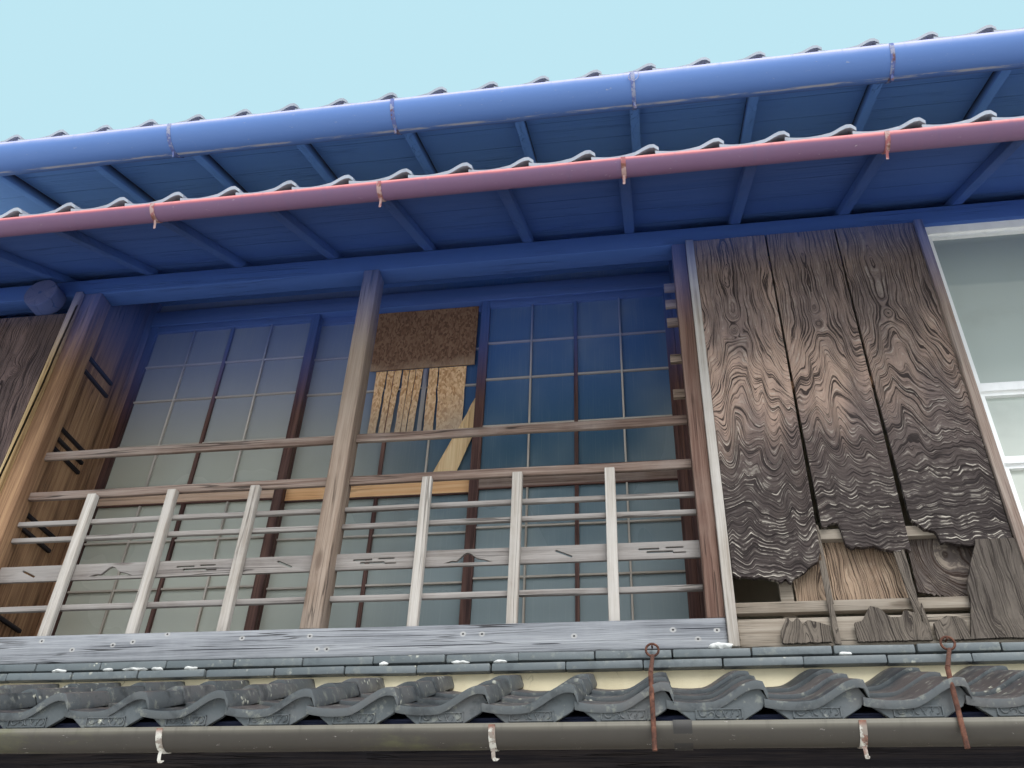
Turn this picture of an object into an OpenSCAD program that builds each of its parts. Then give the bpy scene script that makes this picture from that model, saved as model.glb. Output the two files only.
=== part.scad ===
// Row townhouse with an unglazed timber lattice, board shutter boxes and three tiled eaves.
// Millimetres. X runs along the street front, Y into the house, Z up from the ground.
// Modules draw in street coordinates: X = 0 in the middle of the latticed bay and Y = 0 on the
// street face of the ground storey. placed() moves the whole to the row's origin.

/* [Street front] */
// Distance between the post centres of the latticed bay, one and a half bays of 1970
bay_w = 2955; // [2400:15:3600]
// Width of each shutter box beside the bay
box_w = 1053; // [860:1:1300]
// Width of the aluminium window bay on the right
window_bay_w = 1870; // [1500:10:2600]
// Thickness of the party walls
party_t = 100; // [80:5:150]
// Depth of the house from the street face to the rear wall
house_d = 6900; // [5400:50:9000]
// Depth of the gallery between the street face and the glass doors
gallery_d = 406; // [330:2:500]

/* [Heights] */
// Height of the stone kerb above the ground
kerb_h = 200; // [150:10:300]
// Underside of the beam over the ground storey, above the ground
ground_beam_z = 2480; // [2300:5:3000]
// Height of the plaster band where the lower eave meets the wall
band_h = 33; // [20:1:60]
// Height of each of the two flat tile courses under the sill
course_h = 38; // [30:0.5:46]
// Height of the timber sill below the lattice
sill_h = 110; // [106:1:135]
// Clear height from that sill to the eave beam
gallery_h = 1825; // [1520:1:2190]
// Height of the eave beam
eave_beam_h = 106; // [80:1:140]
// Height of the fixed panes over the glass doors
transom_h = 80; // [60:1:300]
// Height of the wall between the pent roof and the main roof
frieze_h = 596; // [480:1:720]

/* [Posts and floors] */
// Width of the posts at both ends of the lattice
post_w = 95; // [80:1:115]
// Width of the centre post
centre_post_w = 77; // [60:1:95]
// Depth of the street posts of the upper storey
post_d = 95; // [78:1:115]
// Side of the posts of the ground storey and of the inner and rear walls
frame_post = 100; // [80:5:120]
// Thickness of both floors
floor_t = 40; // [30:2:50]
// Thickness of the plastered and boarded infill
infill_t = 50; // [40:2:60]

/* [Lattice] */
// Balusters in each half of the bay
balusters_per_half = 3; // [2:1:4]
// Width of a baluster
baluster_w = 40; // [32:1:50]
// Depth of a baluster
baluster_d = 32; // [26:1:40]
// Depth of the rails behind the balusters
rail_d = 18; // [14:1:24]
// Rise of the foot rail above the sill
foot_rail_up = 130; // [100:1:156]
// Height of the foot rail
foot_rail_h = 23; // [18:1:30]
// Rise of the openwork board above the sill
openwork_up = 262; // [215:1:314]
// Height of the openwork board
openwork_h = 69; // [56:1:84]
// Thickness of the openwork board
openwork_t = 12; // [9:1:16]
// Rise of the lower of two thin rails above the sill
thin_rail_up = 442; // [400:1:480]
// Height of a thin rail
thin_rail_h = 21; // [17:1:28]
// Clear gap between the two thin rails
thin_rail_gap = 57; // [46:1:70]
// Rise of the handrail above the sill
handrail_up = 649; // [610:1:740]
// Height of the handrail
handrail_h = 40; // [33:1:50]
// Rise of the bar over the handrail above the sill
top_bar_up = 860; // [800:1:1030]
// Height of that bar
top_bar_h = 40; // [33:1:50]

/* [Glass doors] */
// Thickness of a glass door
door_t = 30; // [26:1:32]
// Width of a door stile
stile_w = 45; // [36:1:56]
// Rise of the lock rail above the door track
lock_rail_up = 893; // [740:1:1070]
// Height of the lock rail
lock_rail_h = 89; // [70:1:110]
// Width of the middle muntin of a door
muntin_w = 18; // [14:1:24]
// Width of the thin muntins
thin_muntin_w = 9; // [7:1:12]
// Thickness of window glass
glass_t = 3; // [3:1:5]

/* [Shutter boxes] */
// Width of the first board of the right-hand box, counted from the lattice
board_1_w = 325; // [270:1:390]
// Width of its second board
board_2_w = 304; // [250:1:365]
// Thickness of the boards
board_t = 18; // [14:1:22]

/* [Roofs] */
// Rise over run of the lower eave
low_pitch = 0.43; // [0.35:0.01:0.52]
// Rise over run of the pent roof over the lattice
pent_pitch = 0.56; // [0.46:0.01:0.6]
// Rise over run of the main roof
main_pitch = 0.45; // [0.37:0.01:0.54]
// Thickness of the roof boarding, measured upright
deck_t = 15; // [12:1:20]
// Width of one roof tile along the eave
tile_w = 246; // [200:1:300]
// Thickness of tile and clay under the troughs of the tiles
tile_t = 30; // [24:1:40]
// Rise of the tile crests above the troughs
tile_wave = 34; // [26:1:42]
// Width of a rafter
rafter_w = 45; // [36:1:60]
// Spacing of the rafters of the lower eave
low_rafter_step = 472; // [390:2:570]
// Spacing of the rafters of the pent roof
pent_rafter_step = 490; // [400:2:590]
// Spacing of the rafters of the main roof
main_rafter_step = 560; // [460:2:680]

/* [Gutters] */
// Outer diameter of the lower gutter
low_gutter_d = 100; // [84:1:120]
// Outer diameter of the pent roof's gutter
pent_gutter_d = 90; // [76:1:108]
// Outer diameter of the main gutters
main_gutter_d = 180; // [150:2:200]
// Wall of the gutters
gutter_t = 3; // [2:0.5:4]

/* [Hidden] */

// Plan lines
bay_l = -bay_w / 2;
bay_r = bay_w / 2;
inner_l = bay_l - box_w;
box_r = bay_r + box_w;
inner_r = box_r + window_bay_w;
outer_l = inner_l - party_t;
outer_r = inner_r + party_t;
front_len = outer_r - outer_l;
wall_y = gallery_d;

// Street ends and upper ends of the three roofs, and the street lips of their gutters
low_eave_y = -640;
pent_eave_y = -720;
main_eave_y = -500;
low_end_y = 60;
pent_end_y = wall_y + 54;
ridge_y = house_d / 2;
ridge_gap = 2;
low_lip_y = -687;
pent_lip_y = -785;
main_lip_y = -616;
strap_w = 18;
strap_t = 3;
bead_d = 12;
bead_in = 0.5;
tab_lap = 1;
low_rafter_y = low_lip_y + low_gutter_d + strap_t;
pent_rafter_y = pent_lip_y + pent_gutter_d + strap_t;
main_rafter_y = main_lip_y + main_gutter_d + strap_t;
origin_x = (outer_l + outer_r) / 2;
origin_y = (pent_lip_y + house_d - main_lip_y) / 2;

// A point at y on the sloping underside of the rafters that starts at an eave
function on_slope(eave, pitch, y) = eave[1] + pitch * (y - eave[0]);
function low_z(y) = on_slope(low_eave, low_pitch, y);
function pent_z(y) = on_slope(pent_eave, pent_pitch, y);
function main_z(y) = on_slope(main_eave, main_pitch, y);

// Levels, from the ground up
low_rafter_t = 45;
pent_rafter_t = 45;
main_rafter_t = 60;
ground_sill_h = 120;
ground_sill_top = kerb_h + ground_sill_h;
low_eave = [low_eave_y, ground_beam_z - 95];
low_lip_z = low_eave[1] + 28;
ground_beam_top = low_z(0);
band_top = low_z(low_end_y) + low_rafter_t + deck_t + band_h;
sill_z = band_top + 2 * course_h;
sill_top = sill_z + sill_h;
floor_z = sill_z + 8;
eave_beam_y = [-40, 60];
eave_beam_z = sill_top + gallery_h;
eave_beam_top = eave_beam_z + eave_beam_h;
pent_eave = [pent_eave_y, eave_beam_top - pent_pitch * (eave_beam_y[0] - pent_eave_y)];
pent_lip_z = pent_eave[1] + 27;
plate_t = 20;
plate_z = pent_z(wall_y) - plate_t;
track_h = 50;
head_h = 100;
track_top = floor_z + track_h;
door_top = plate_z - transom_h - head_h;
main_eave = [main_eave_y, pent_z(pent_end_y) + frieze_h - main_pitch * (pent_end_y - main_eave_y)];
main_lip_z = main_eave[1] - 11;

// Colours, as the weathered house shows them
wood_dark = [0.27, 0.21, 0.18];
wood_brown = [0.36, 0.27, 0.21];
wood_grey = [0.47, 0.44, 0.41];
wood_pale = [0.66, 0.60, 0.52];
tile_grey = [0.31, 0.34, 0.37];
plaster_cream = [0.80, 0.76, 0.66];
stone_grey = [0.55, 0.54, 0.51];
slate_blue = [0.20, 0.29, 0.47];
faded_red = [0.60, 0.30, 0.30];
taupe = [0.42, 0.40, 0.37];
rust = [0.42, 0.25, 0.16];
white_metal = [0.86, 0.86, 0.84];
glass_teal = [0.45, 0.55, 0.55, 0.5];

// Moves street coordinates to the row's origin
module placed() { translate([-origin_x, -origin_y, 0]) children(); }

// A block between two corners
module block(x, y, z) { translate([x[0], y[0], z[0]]) cube([x[1] - x[0], y[1] - y[0], z[1] - z[0]]); }

// Widens or narrows a span by the same amount at both ends; a cut runs past the faces it opens
function grown(span, by) = [span[0] - by, span[1] + by];
cut_past = 1;

// A profile in the YZ plane, extruded along X
module profile_x(x, points) {
    translate([x[0], 0, 0]) rotate([90, 0, 90]) linear_extrude(x[1] - x[0]) polygon(points);
}

// An outline in the XZ plane, extruded along Y
module outline_y(y, points) {
    translate([0, y[1], 0]) rotate([90, 0, 0]) linear_extrude(y[1] - y[0]) polygon(points);
}

// A sloping layer with upright ends; lift and thick are measured upright from the rafter line
module sloping_layer(x, y, eave, pitch, lift, thick) {
    z0 = on_slope(eave, pitch, y[0]) + lift;
    z1 = on_slope(eave, pitch, y[1]) + lift;
    profile_x(x, [[y[0], z0], [y[1], z1], [y[1], z1 + thick], [y[0], z0 + thick]]);
}

// Cross-section of a row of pantiles: flat bedding below, one crest and one trough a tile above
wave_steps = 6;
function wave_h(x, crest_x) = tile_t + tile_wave * pow((1 + cos(360 * (x - crest_x) / tile_w)) / 2, 1.5);
function wave_row(crest_x) =
    let (
        step = tile_w / wave_steps,
        first = ceil((outer_l - crest_x) / step + 0.01),
        last = floor((outer_r - crest_x) / step - 0.01),
        xs = concat([outer_l], [for (i = [first:last]) crest_x + i * step], [outer_r])
    ) concat([[outer_r, 0], [outer_l, 0]], [for (x = xs) [x, wave_h(x, crest_x)]]);

// A tiled slope between two lines on the roof boarding; its lower end lifts by tail_rise
module tile_slope(y, eave, pitch, lift, crest_x, tail_rise = 0) {
    slope = atan(pitch);
    length = (y[1] - y[0]) / cos(slope);
    tilt = asin(tail_rise / length);
    translate([0, y[1], on_slope(eave, pitch, y[1]) + lift]) rotate([90 + slope - tilt, 0, 0])
        linear_extrude(length) polygon(wave_row(crest_x));
}

// Places children once on the street side and once mirrored onto the rear
module front_and_rear() {
    children();
    at_rear() children();
}
module at_rear() translate([0, house_d, 0]) mirror([0, 1, 0]) children();

// Rafter centre lines step both ways from one strap, as far as the outer faces of the party walls
low_strap_x = 811;
pent_strap_x = 260;
main_strap_x = 180;
function xs_in_front(x0, step, margin) =
    [for (i = [ceil((outer_l + margin - x0) / step):floor((outer_r - margin - x0) / step)]) x0 + step * i];
function rafter_xs(x0, step) = xs_in_front(x0, step, rafter_w / 2);
function strap_xs(x0, step) = xs_in_front(x0, 2 * step, rafter_w);

// Half-round gutter with a rolled street lip, hung with that lip at the given line
module gutter(lip_y, lip_z, d) {
    translate([outer_l, lip_y + d / 2, lip_z]) rotate([90, 0, 90]) linear_extrude(front_len) {
        difference() {
            circle(d = d, $fn = 48);
            circle(d = d - 2 * gutter_t, $fn = 48);
            translate([-d, 0]) square([2 * d, d]);
        }
        translate([(bead_d - d) / 2 + bead_in, 0]) circle(d = bead_d, $fn = 24);
    }
}

// Strap under a gutter, with a tab that is nailed to the rafter end behind it
module strap(x, lip_y, lip_z, d, tab_top) {
    translate([x - strap_w / 2, lip_y + d / 2, lip_z]) rotate([90, 0, 90]) linear_extrude(strap_w) {
        difference() {
            circle(d = d + 2 * strap_t, $fn = 48);
            circle(d = d, $fn = 48);
            translate([-d, 0]) square([2 * d, d]);
        }
        translate([d / 2, -tab_lap]) square([strap_t, tab_top - lip_z + tab_lap]);
    }
}

// A round iron rod between two points
module rod(a, b, d) {
    v = b - a;
    translate(a) rotate([0, acos(v[2] / norm(v)), atan2(v[1], v[0])]) cylinder(d = d, h = norm(v), $fn = 24);
}

// Ground storey

// A kerb of dressed stone under all four walls, and pad stones under the sleepers
kerb_y = [-20, 150];
kerb_joint = 5;
side_kerb_in = 50;
pad_half = 150;
sleeper_half = 50;
sleeper_ys = [for (share = [0.25, 0.5, 0.75]) house_d * share];
module foundation_stones() color(stone_grey) placed() {
    front_and_rear() block([outer_l, outer_r], kerb_y, [0, kerb_h]);
    side_y = [kerb_y[1] + kerb_joint, house_d - kerb_y[1] - kerb_joint];
    block([outer_l, inner_l + side_kerb_in], side_y, [0, kerb_h]);
    block([inner_r - side_kerb_in, outer_r], side_y, [0, kerb_h]);
    for (y = sleeper_ys, x = [bay_l, bay_r])
        block(grown([x, x], pad_half), grown([y, y], pad_half), [0, kerb_h]);
}

ground_sill_d = 120;
module ground_sills() color(wood_dark) placed() {
    front_and_rear() block([inner_l, inner_r], [0, ground_sill_d], [kerb_h, ground_sill_top]);
    for (y = sleeper_ys) block([inner_l, inner_r], grown([y, y], sleeper_half), [kerb_h, ground_sill_top]);
}

// The floor bears on the sills and is notched round the posts
floor_bearing = 20;
post_y = [0, frame_post];
module ground_floor() color(wood_brown) placed() {
    boards_z = [ground_sill_top, ground_sill_top + floor_t];
    difference() {
        block([inner_l, inner_r], grown([ground_sill_d, house_d - ground_sill_d], floor_bearing), boards_z);
        front_and_rear() post_row(post_y, grown(boards_z, cut_past));
    }
}

// Posts stand between the bays; the end ones touch the party walls
post_xs = [inner_l + frame_post / 2, bay_l, bay_r, box_r, inner_r - frame_post / 2];
module post_row(y, z) for (x = post_xs) block(grown([x, x], frame_post / 2), y, z);
module ground_posts() color(wood_dark) placed()
    front_and_rear() post_row(post_y, [ground_sill_top, ground_beam_z]);

// Clear bays between neighbouring posts, from the left
all_bays = [0:3];
entrance_bay = 1;
window_bays = [0, 2, 3];
function bay_span(i) = [post_xs[i] + frame_post / 2, post_xs[i + 1] - frame_post / 2];
lintel_z = [ground_beam_z - 420, ground_beam_z - 360];
window_sill_z = [1060, 1100];
ground_rail_y = [20, 80];
module ground_rails() color(wood_dark) placed() front_and_rear() {
    for (i = all_bays) block(bay_span(i), ground_rail_y, lintel_z);
    for (i = window_bays) block(bay_span(i), ground_rail_y, window_sill_z);
}

infill_y = [25, 25 + infill_t];
module ground_wall_panels() color(plaster_cream) placed() front_and_rear() {
    for (i = all_bays) block(bay_span(i), infill_y, [lintel_z[1], ground_beam_z]);
    for (i = window_bays) block(bay_span(i), infill_y, [ground_sill_top, window_sill_z[0]]);
}

// Street lattice of upright bars over three rails, one screen for each window bay
lattice_bar = 24;
lattice_pitch = 62;
lattice_lap = 30;
lattice_y = [0, 20];
lattice_rail_y = [6, 20];
lattice_rail_h = 30;
lattice_rail_shares = [0.02, 0.5, 0.94];
module lattice_screen(span, z) {
    run = span[1] - span[0] - lattice_bar;
    count = floor(run / lattice_pitch);
    for (i = [0:count]) {
        bar_x = span[0] + run * i / count;
        block([bar_x, bar_x + lattice_bar], lattice_y, z);
    }
    for (share = lattice_rail_shares) {
        rail_z = z[0] + share * (z[1] - z[0]);
        block(span, lattice_rail_y, [rail_z, rail_z + lattice_rail_h]);
    }
}
module ground_lattice() color(wood_dark) placed() for (i = window_bays)
    lattice_screen(bay_span(i), [window_sill_z[1] - lattice_lap, lintel_z[0] + lattice_lap]);

// Four sliding leaves on two tracks, each a frame with a boarded foot
leaf_count = 4;
leaf_lap = 40;
leaf_t = 28;
leaf_stile = 55;
leaf_head = 70;
leaf_foot_h = 620;
leaf_bar_w = 18;
leaf_bar_in = [4, 18];
leaf_w = (bay_w - frame_post + leaf_lap * (leaf_count - 1)) / leaf_count;
leaf_pane_z = [ground_sill_top + leaf_foot_h, lintel_z[0] - leaf_head];
function leaf_x(i) = bay_span(entrance_bay)[0] + i * (leaf_w - leaf_lap);
function leaf_y(i) = i == 0 || i == leaf_count - 1 ? 22 : 54;
module sliding_leaf(i) {
    x = [leaf_x(i), leaf_x(i) + leaf_w];
    y = [leaf_y(i), leaf_y(i) + leaf_t];
    difference() {
        block(x, y, [ground_sill_top, lintel_z[0]]);
        block(grown(x, -leaf_stile), grown(y, cut_past), leaf_pane_z);
    }
    for (f = [1, 2, 3]) {
        bar_x = x[0] + leaf_w * f / 4;
        block(grown([bar_x, bar_x], leaf_bar_w / 2), [y[0], y[0]] + leaf_bar_in, leaf_pane_z);
    }
}
module ground_doors() color(wood_brown) placed()
    front_and_rear() for (i = [0:leaf_count - 1]) sliding_leaf(i);

window_glass_y = 48;
module ground_glass() color(glass_teal) placed() front_and_rear() {
    for (i = [0:leaf_count - 1]) {
        y = leaf_y(i) + leaf_bar_in[1];
        block([leaf_x(i) + leaf_stile, leaf_x(i) + leaf_w - leaf_stile], [y, y + glass_t], leaf_pane_z);
    }
    for (i = window_bays)
        block(bay_span(i), [window_glass_y, window_glass_y + glass_t], [window_sill_z[1], lintel_z[0]]);
}

ground_beam_d = 170;
module ground_beams() color(wood_dark) placed()
    front_and_rear() block([inner_l, inner_r], [0, ground_beam_d], [ground_beam_z, ground_beam_top]);

// Party walls follow the eaves and the main roof; the notch lets the lower eave run past
module party_wall(x) profile_x(x, [
    [0, kerb_h], [house_d, kerb_h], [house_d, main_z(0)], [ridge_y, main_z(ridge_y)],
    [pent_end_y, main_z(pent_end_y)], [pent_end_y, pent_z(pent_end_y)], [0, pent_z(0)],
    [0, sill_z], [low_end_y, sill_z], [low_end_y, ground_beam_top], [0, ground_beam_top]
]);
module party_wall_left() color(plaster_cream) placed() party_wall([outer_l, inner_l]);
module party_wall_right() color(plaster_cream) placed() party_wall([inner_r, outer_r]);

// Upper floor and street front

rim_y = [low_end_y, 150];
floor_y = [rim_y[1], house_d - rim_y[1]];
floor_beam_half = 60;
module rim_beams() color(wood_dark) placed() {
    block([inner_l, inner_r], rim_y, [ground_beam_top, sill_z]);
    block([inner_l, inner_r], [floor_y[1], house_d], [ground_beam_top, sill_z]);
}
module floor_beams() color(wood_dark) placed() for (x = [bay_l, 0, bay_r, box_r])
    block(grown([x, x], floor_beam_half), floor_y, [ground_beam_top, floor_z - floor_t]);
module upper_floor() color(wood_brown) placed()
    block([inner_l, inner_r], floor_y, [floor_z - floor_t, floor_z]);

// Pale corner trims cover the joints between the end posts and the shutter boxes
trim_w = 36;
trim_t = 22;
trim_gap = 16;
left_trim_x = [bay_l - post_w / 2 - trim_w, bay_l - post_w / 2];
right_trim_x = [bay_r + trim_gap, bay_r + trim_gap + trim_w];
front_post_y = [eave_beam_y[0] - 5, eave_beam_y[0] - 5 + post_d];
trim_y = [front_post_y[0] - trim_t, eave_beam_y[1]];
module corner_trims() color(wood_pale) placed() {
    block(left_trim_x, trim_y, [sill_top, eave_beam_z]);
    block(right_trim_x, trim_y, [sill_z, eave_beam_z]);
}

// The boards and battens of the shutter boxes stand in front of the sill on their right
board_y = [front_post_y[0] - board_t + 3, front_post_y[0] + 3];
batten_y = [board_y[1], board_y[1] + 30];
sill_beam_y = [-50, 100];
low_sill_h = 105;
module sill_beam() color(wood_grey) placed() {
    block([inner_l, right_trim_x[0]], sill_beam_y, [sill_z, sill_top]);
    block([right_trim_x[1], inner_r], [board_y[1], sill_beam_y[1]], [sill_z, sill_z + low_sill_h]);
}

// Three posts carry the eave beam; the centre one stands a little left of the bay's middle
centre_post_x = [-50, -50 + centre_post_w];
left_half = [bay_l + post_w / 2, centre_post_x[0]];
right_half = [centre_post_x[1], bay_r - post_w / 2];
module bay_posts() color(wood_grey) placed() {
    z = [sill_top, eave_beam_z];
    block([left_trim_x[1], left_half[0]], front_post_y, z);
    block(centre_post_x, front_post_y, z);
    block([right_half[1], right_trim_x[0]], front_post_y, z);
}

// Balusters stand at even centres in front of the rails
baluster_step = bay_w / 2 / (balusters_per_half + 1);
baluster_y = [-20, -20 + baluster_d];
rail_y = [baluster_y[1], baluster_y[1] + rail_d];
module railing_balusters() color(wood_pale) placed()
    for (side = [-1, 1], i = [1:balusters_per_half]) {
        x = side * baluster_step * i;
        block(grown([x, x], baluster_w / 2), baluster_y, [sill_top, sill_top + handrail_up]);
    }

// Each rail is [rise above the sill, height]
rails = [
    [foot_rail_up, foot_rail_h], [thin_rail_up, thin_rail_h],
    [thin_rail_up + thin_rail_h + thin_rail_gap, thin_rail_h],
    [handrail_up, handrail_h], [top_bar_up, top_bar_h]
];
module railing_rails() color(wood_grey) placed()
    for (half = [left_half, right_half], rail = rails)
        block(half, rail_y, [sill_top + rail[0], sill_top + rail[0] + rail[1]]);

// Cut-outs of the openwork board, drawn about the middle of one panel
module mountain_cut() {
    polygon([
        [-95, -22], [-62, -12], [-44, -14], [-16, 14], [-4, 20], [10, 16], [34, -4], [62, -10],
        [96, -22]
    ]);
}
module mist_stroke(x, y, l, h) {
    translate([x, y]) square([l, h], center = true);
    for (s = [-1, 1]) translate([x + s * l / 2, y]) circle(d = h, $fn = 24);
}
module mist_cut() {
    mist_stroke(-50, 6, 70, 8);
    mist_stroke(-10, -7, 90, 9);
    mist_stroke(45, 9, 60, 7);
    mist_stroke(62, -12, 44, 6);
}
module slit_cut() rotate(-24) mist_stroke(0, 0, 62, 9);
module panel_cut(i) {
    if (i % 3 == 0) slit_cut();
    if (i % 3 == 1) mist_cut();
    if (i % 3 == 2) mountain_cut();
}

// The openwork board runs behind the balusters, with one cut-out between each pair
openwork_y = [rail_y[0] + 4, rail_y[0] + 4 + openwork_t];
openwork_z = [sill_top + openwork_up, sill_top + openwork_up + openwork_h];
module openwork_half(half, side) difference() {
    block(half, openwork_y, openwork_z);
    for (i = [0:balusters_per_half]) {
        x = side * baluster_step * (i + 0.5);
        translate([x, openwork_y[1] + cut_past, (openwork_z[0] + openwork_z[1]) / 2]) rotate([90, 0, 0])
            linear_extrude(openwork_t + 2 * cut_past) panel_cut(i + (side + 1) / 2);
    }
}
module openwork_board() color(wood_grey) placed() {
    openwork_half(left_half, -1);
    openwork_half(right_half, 1);
}

// Boarded returns between the street posts and the wall behind the gallery
side_board_t = 20;
module gallery_side_boards() color(wood_brown) placed() for (x = [bay_l, bay_r, box_r + side_board_t / 2])
    profile_x(grown([x, x], side_board_t / 2), [
        [front_post_y[1], sill_top], [sill_beam_y[1], sill_top], [sill_beam_y[1], floor_z],
        [wall_y, floor_z], [wall_y, plate_z], [eave_beam_y[1], pent_z(eave_beam_y[1])],
        [eave_beam_y[1], eave_beam_z], [front_post_y[1], eave_beam_z]
    ]);

// Thin bars cross the left return, and short blocks stand out from the right one
return_bar = 16;
return_bar_y = [70, wall_y - 106];
return_bar_ups = [161, 541, 608, 959, 1013, 1068, 1415, 1495];
return_block_x = 85;
return_block_y = [55, 75];
return_block_h = 42;
return_block_drops = [150, 250, 360, 570, 760];
module return_battens() color(wood_dark) placed() {
    left_face = bay_l + side_board_t / 2;
    right_face = bay_r - side_board_t / 2;
    for (up = return_bar_ups)
        block([left_face, left_face + return_bar], return_bar_y, [sill_top + up, sill_top + up + return_bar]);
    for (drop = return_block_drops)
        block([right_face - return_block_x, right_face], return_block_y,
            [eave_beam_z - drop - return_block_h, eave_beam_z - drop]);
}

// Inner wall with the glass doors

rear_plate_d = 120;
rear_plate_z = main_z(0) - rear_plate_d;
module inner_posts() color(wood_dark) placed() {
    post_row([wall_y, wall_y + frame_post], [floor_z, plate_z]);
    at_rear() post_row(post_y, [sill_z, rear_plate_z]);
}

opening_x = [bay_l + frame_post / 2, bay_r - frame_post / 2];
track_y = [wall_y - 6, wall_y + 94];
module door_tracks() color(wood_brown) placed() {
    block(opening_x, track_y, [floor_z, track_top]);
    block(opening_x, track_y, [door_top, door_top + head_h]);
}

// A glass door: stiles, rails and lock rail, with a thick middle muntin and thin ones between
door_lap = 45;
door_w = (opening_x[1] - opening_x[0] + 2 * door_lap) / 3;
bottom_rail_h = 60;
top_rail_h = 45;
muntin_in = [3, 18];
front_door_y = wall_y + 2;
back_door_y = wall_y + 36;
lock_rail_z = [track_top + lock_rail_up, track_top + lock_rail_up + lock_rail_h];
low_pane_z = [track_top + bottom_rail_h, lock_rail_z[0]];
high_pane_z = [lock_rail_z[1], door_top - top_rail_h];
low_rows = [0.19, 0.47, 0.76];
high_rows = [0.25, 0.53, 0.76];
function door_y(i) = i == 1 ? back_door_y : front_door_y;
door_pitch = door_w - door_lap;
function door_x(i) = [opening_x[0] + i * door_pitch, opening_x[0] + i * door_pitch + door_w];
module muntins(x, y, z, rows) {
    for (share = [0.25, 0.5, 0.75]) {
        bar_x = x[0] + share * (x[1] - x[0]);
        block(grown([bar_x, bar_x], (share == 0.5 ? muntin_w : thin_muntin_w) / 2), y, z);
    }
    for (share = rows) {
        bar_z = z[0] + share * (z[1] - z[0]);
        block(x, y, grown([bar_z, bar_z], thin_muntin_w / 2));
    }
}
module glass_door(i) {
    y = [door_y(i), door_y(i) + door_t];
    clear_x = grown(door_x(i), -stile_w);
    muntin_y = [y[0], y[0]] + muntin_in;
    difference() {
        block(door_x(i), y, [track_top, door_top]);
        block(clear_x, grown(y, cut_past), low_pane_z);
        block(clear_x, grown(y, cut_past), high_pane_z);
    }
    muntins(clear_x, muntin_y, low_pane_z, low_rows);
    muntins(clear_x, muntin_y, high_pane_z, high_rows);
}
module glass_door_left() color(wood_brown) placed() glass_door(0);
module glass_door_middle() color(wood_brown) placed() glass_door(1);
module glass_door_right() color(wood_brown) placed() glass_door(2);

transom_in = 30;
module door_glass() color(glass_teal) placed() {
    for (i = [0:2], z = [low_pane_z, high_pane_z])
        block(grown(door_x(i), -stile_w), [door_y(i), door_y(i) + glass_t] + [muntin_in[1], muntin_in[1]], z);
    block(opening_x, [wall_y + transom_in, wall_y + transom_in + glass_t], [door_top + head_h, plate_z]);
}

// A sheet and thin strips nailed over the broken panes of the middle door, from its right edge
repair_t = 6;
sheet_x = [door_x(1)[1] - 615, door_x(1)[1] - 69];
sheet_share = 0.649;
sheet_z = [high_pane_z[0] + sheet_share * (high_pane_z[1] - high_pane_z[0]), door_top - 7];
strips_x = [door_x(1)[1] - 581, door_x(1)[1] - 111];
strips_share = 0.2285;
strips_z = [high_pane_z[0] + strips_share * (high_pane_z[1] - high_pane_z[0]), sheet_z[0] - 4];
module repair_boards() color(wood_pale) placed() {
    block(sheet_x, [back_door_y - repair_t, back_door_y], sheet_z);
    block(strips_x, [back_door_y - repair_t, back_door_y] + [muntin_in[0], muntin_in[0]], strips_z);
}

// Shutter boxes

left_box_x = [inner_l, left_trim_x[0]];
right_box_x = [right_trim_x[1], box_r];
board_gap = 4;
shutter_top = eave_beam_z - 5;

// The end of a log that carries the eave shows over the left-hand box
log_d = 180;
log_len = 90;
log_x = bay_l - 228.5;
log_z = eave_beam_z - 45;
module log_end() color(wood_dark) placed()
    translate([log_x, eave_beam_y[0], log_z]) rotate([90, 0, 0]) cylinder(d = log_d, h = log_len, $fn = 48);

// Broken edges, as [share of the board's width, height above the sill's underside] from left to right
board_1_foot = [
    [0, 260], [0.23, 245], [0.4, 241], [0.52, 224], [0.57, 242], [0.63, 221], [0.67, 242],
    [0.81, 266], [0.9, 291], [0.95, 237], [0.95, 1], [1, 1]
];
board_2_foot = [
    [0, 437], [0.05, 433], [0.15, 451], [0.21, 445], [0.23, 412], [0.22, 364], [0.31, 345],
    [0.56, 355], [0.72, 337], [0.77, 331], [0.87, 112], [0.93, 107], [0.89, 322], [1, 327]
];
board_3_foot = [
    [0, 457], [0.06, 432], [0.12, 410], [0.24, 399], [0.22, 354], [0.38, 351], [0.54, 340],
    [0.45, 271], [0.37, 193], [0.36, 126], [0.3, 1], [1, 1]
];
// Stubs of the same boards still nailed to the sill
stub_1 = [
    [0.43, 1], [0.51, 96], [0.555, 72], [0.62, 91], [0.66, 68], [0.72, 80], [0.83, 70], [0.93, 64],
    [0.92, 1]
];
stub_2 = [
    [0.25, 1], [0.18, 62], [0.26, 70], [0.37, 122], [0.46, 116], [0.56, 82], [0.7, 81], [0.73, 104],
    [0.88, 93], [0.93, 55], [0.9, 1]
];
stub_3 = [[0, 1], [0.02, 59], [0.13, 81], [0.22, 76], [0.28, 61], [0.27, 1]];
function across(x, shares) = [for (p = shares) [x[0] + p[0] * (x[1] - x[0]), sill_z + p[1]]];
module broken_board(x, foot, stub) {
    outline_y(board_y, concat([[x[1], shutter_top], [x[0], shutter_top]], across(x, foot)));
    outline_y(board_y, across(x, stub));
}

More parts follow.
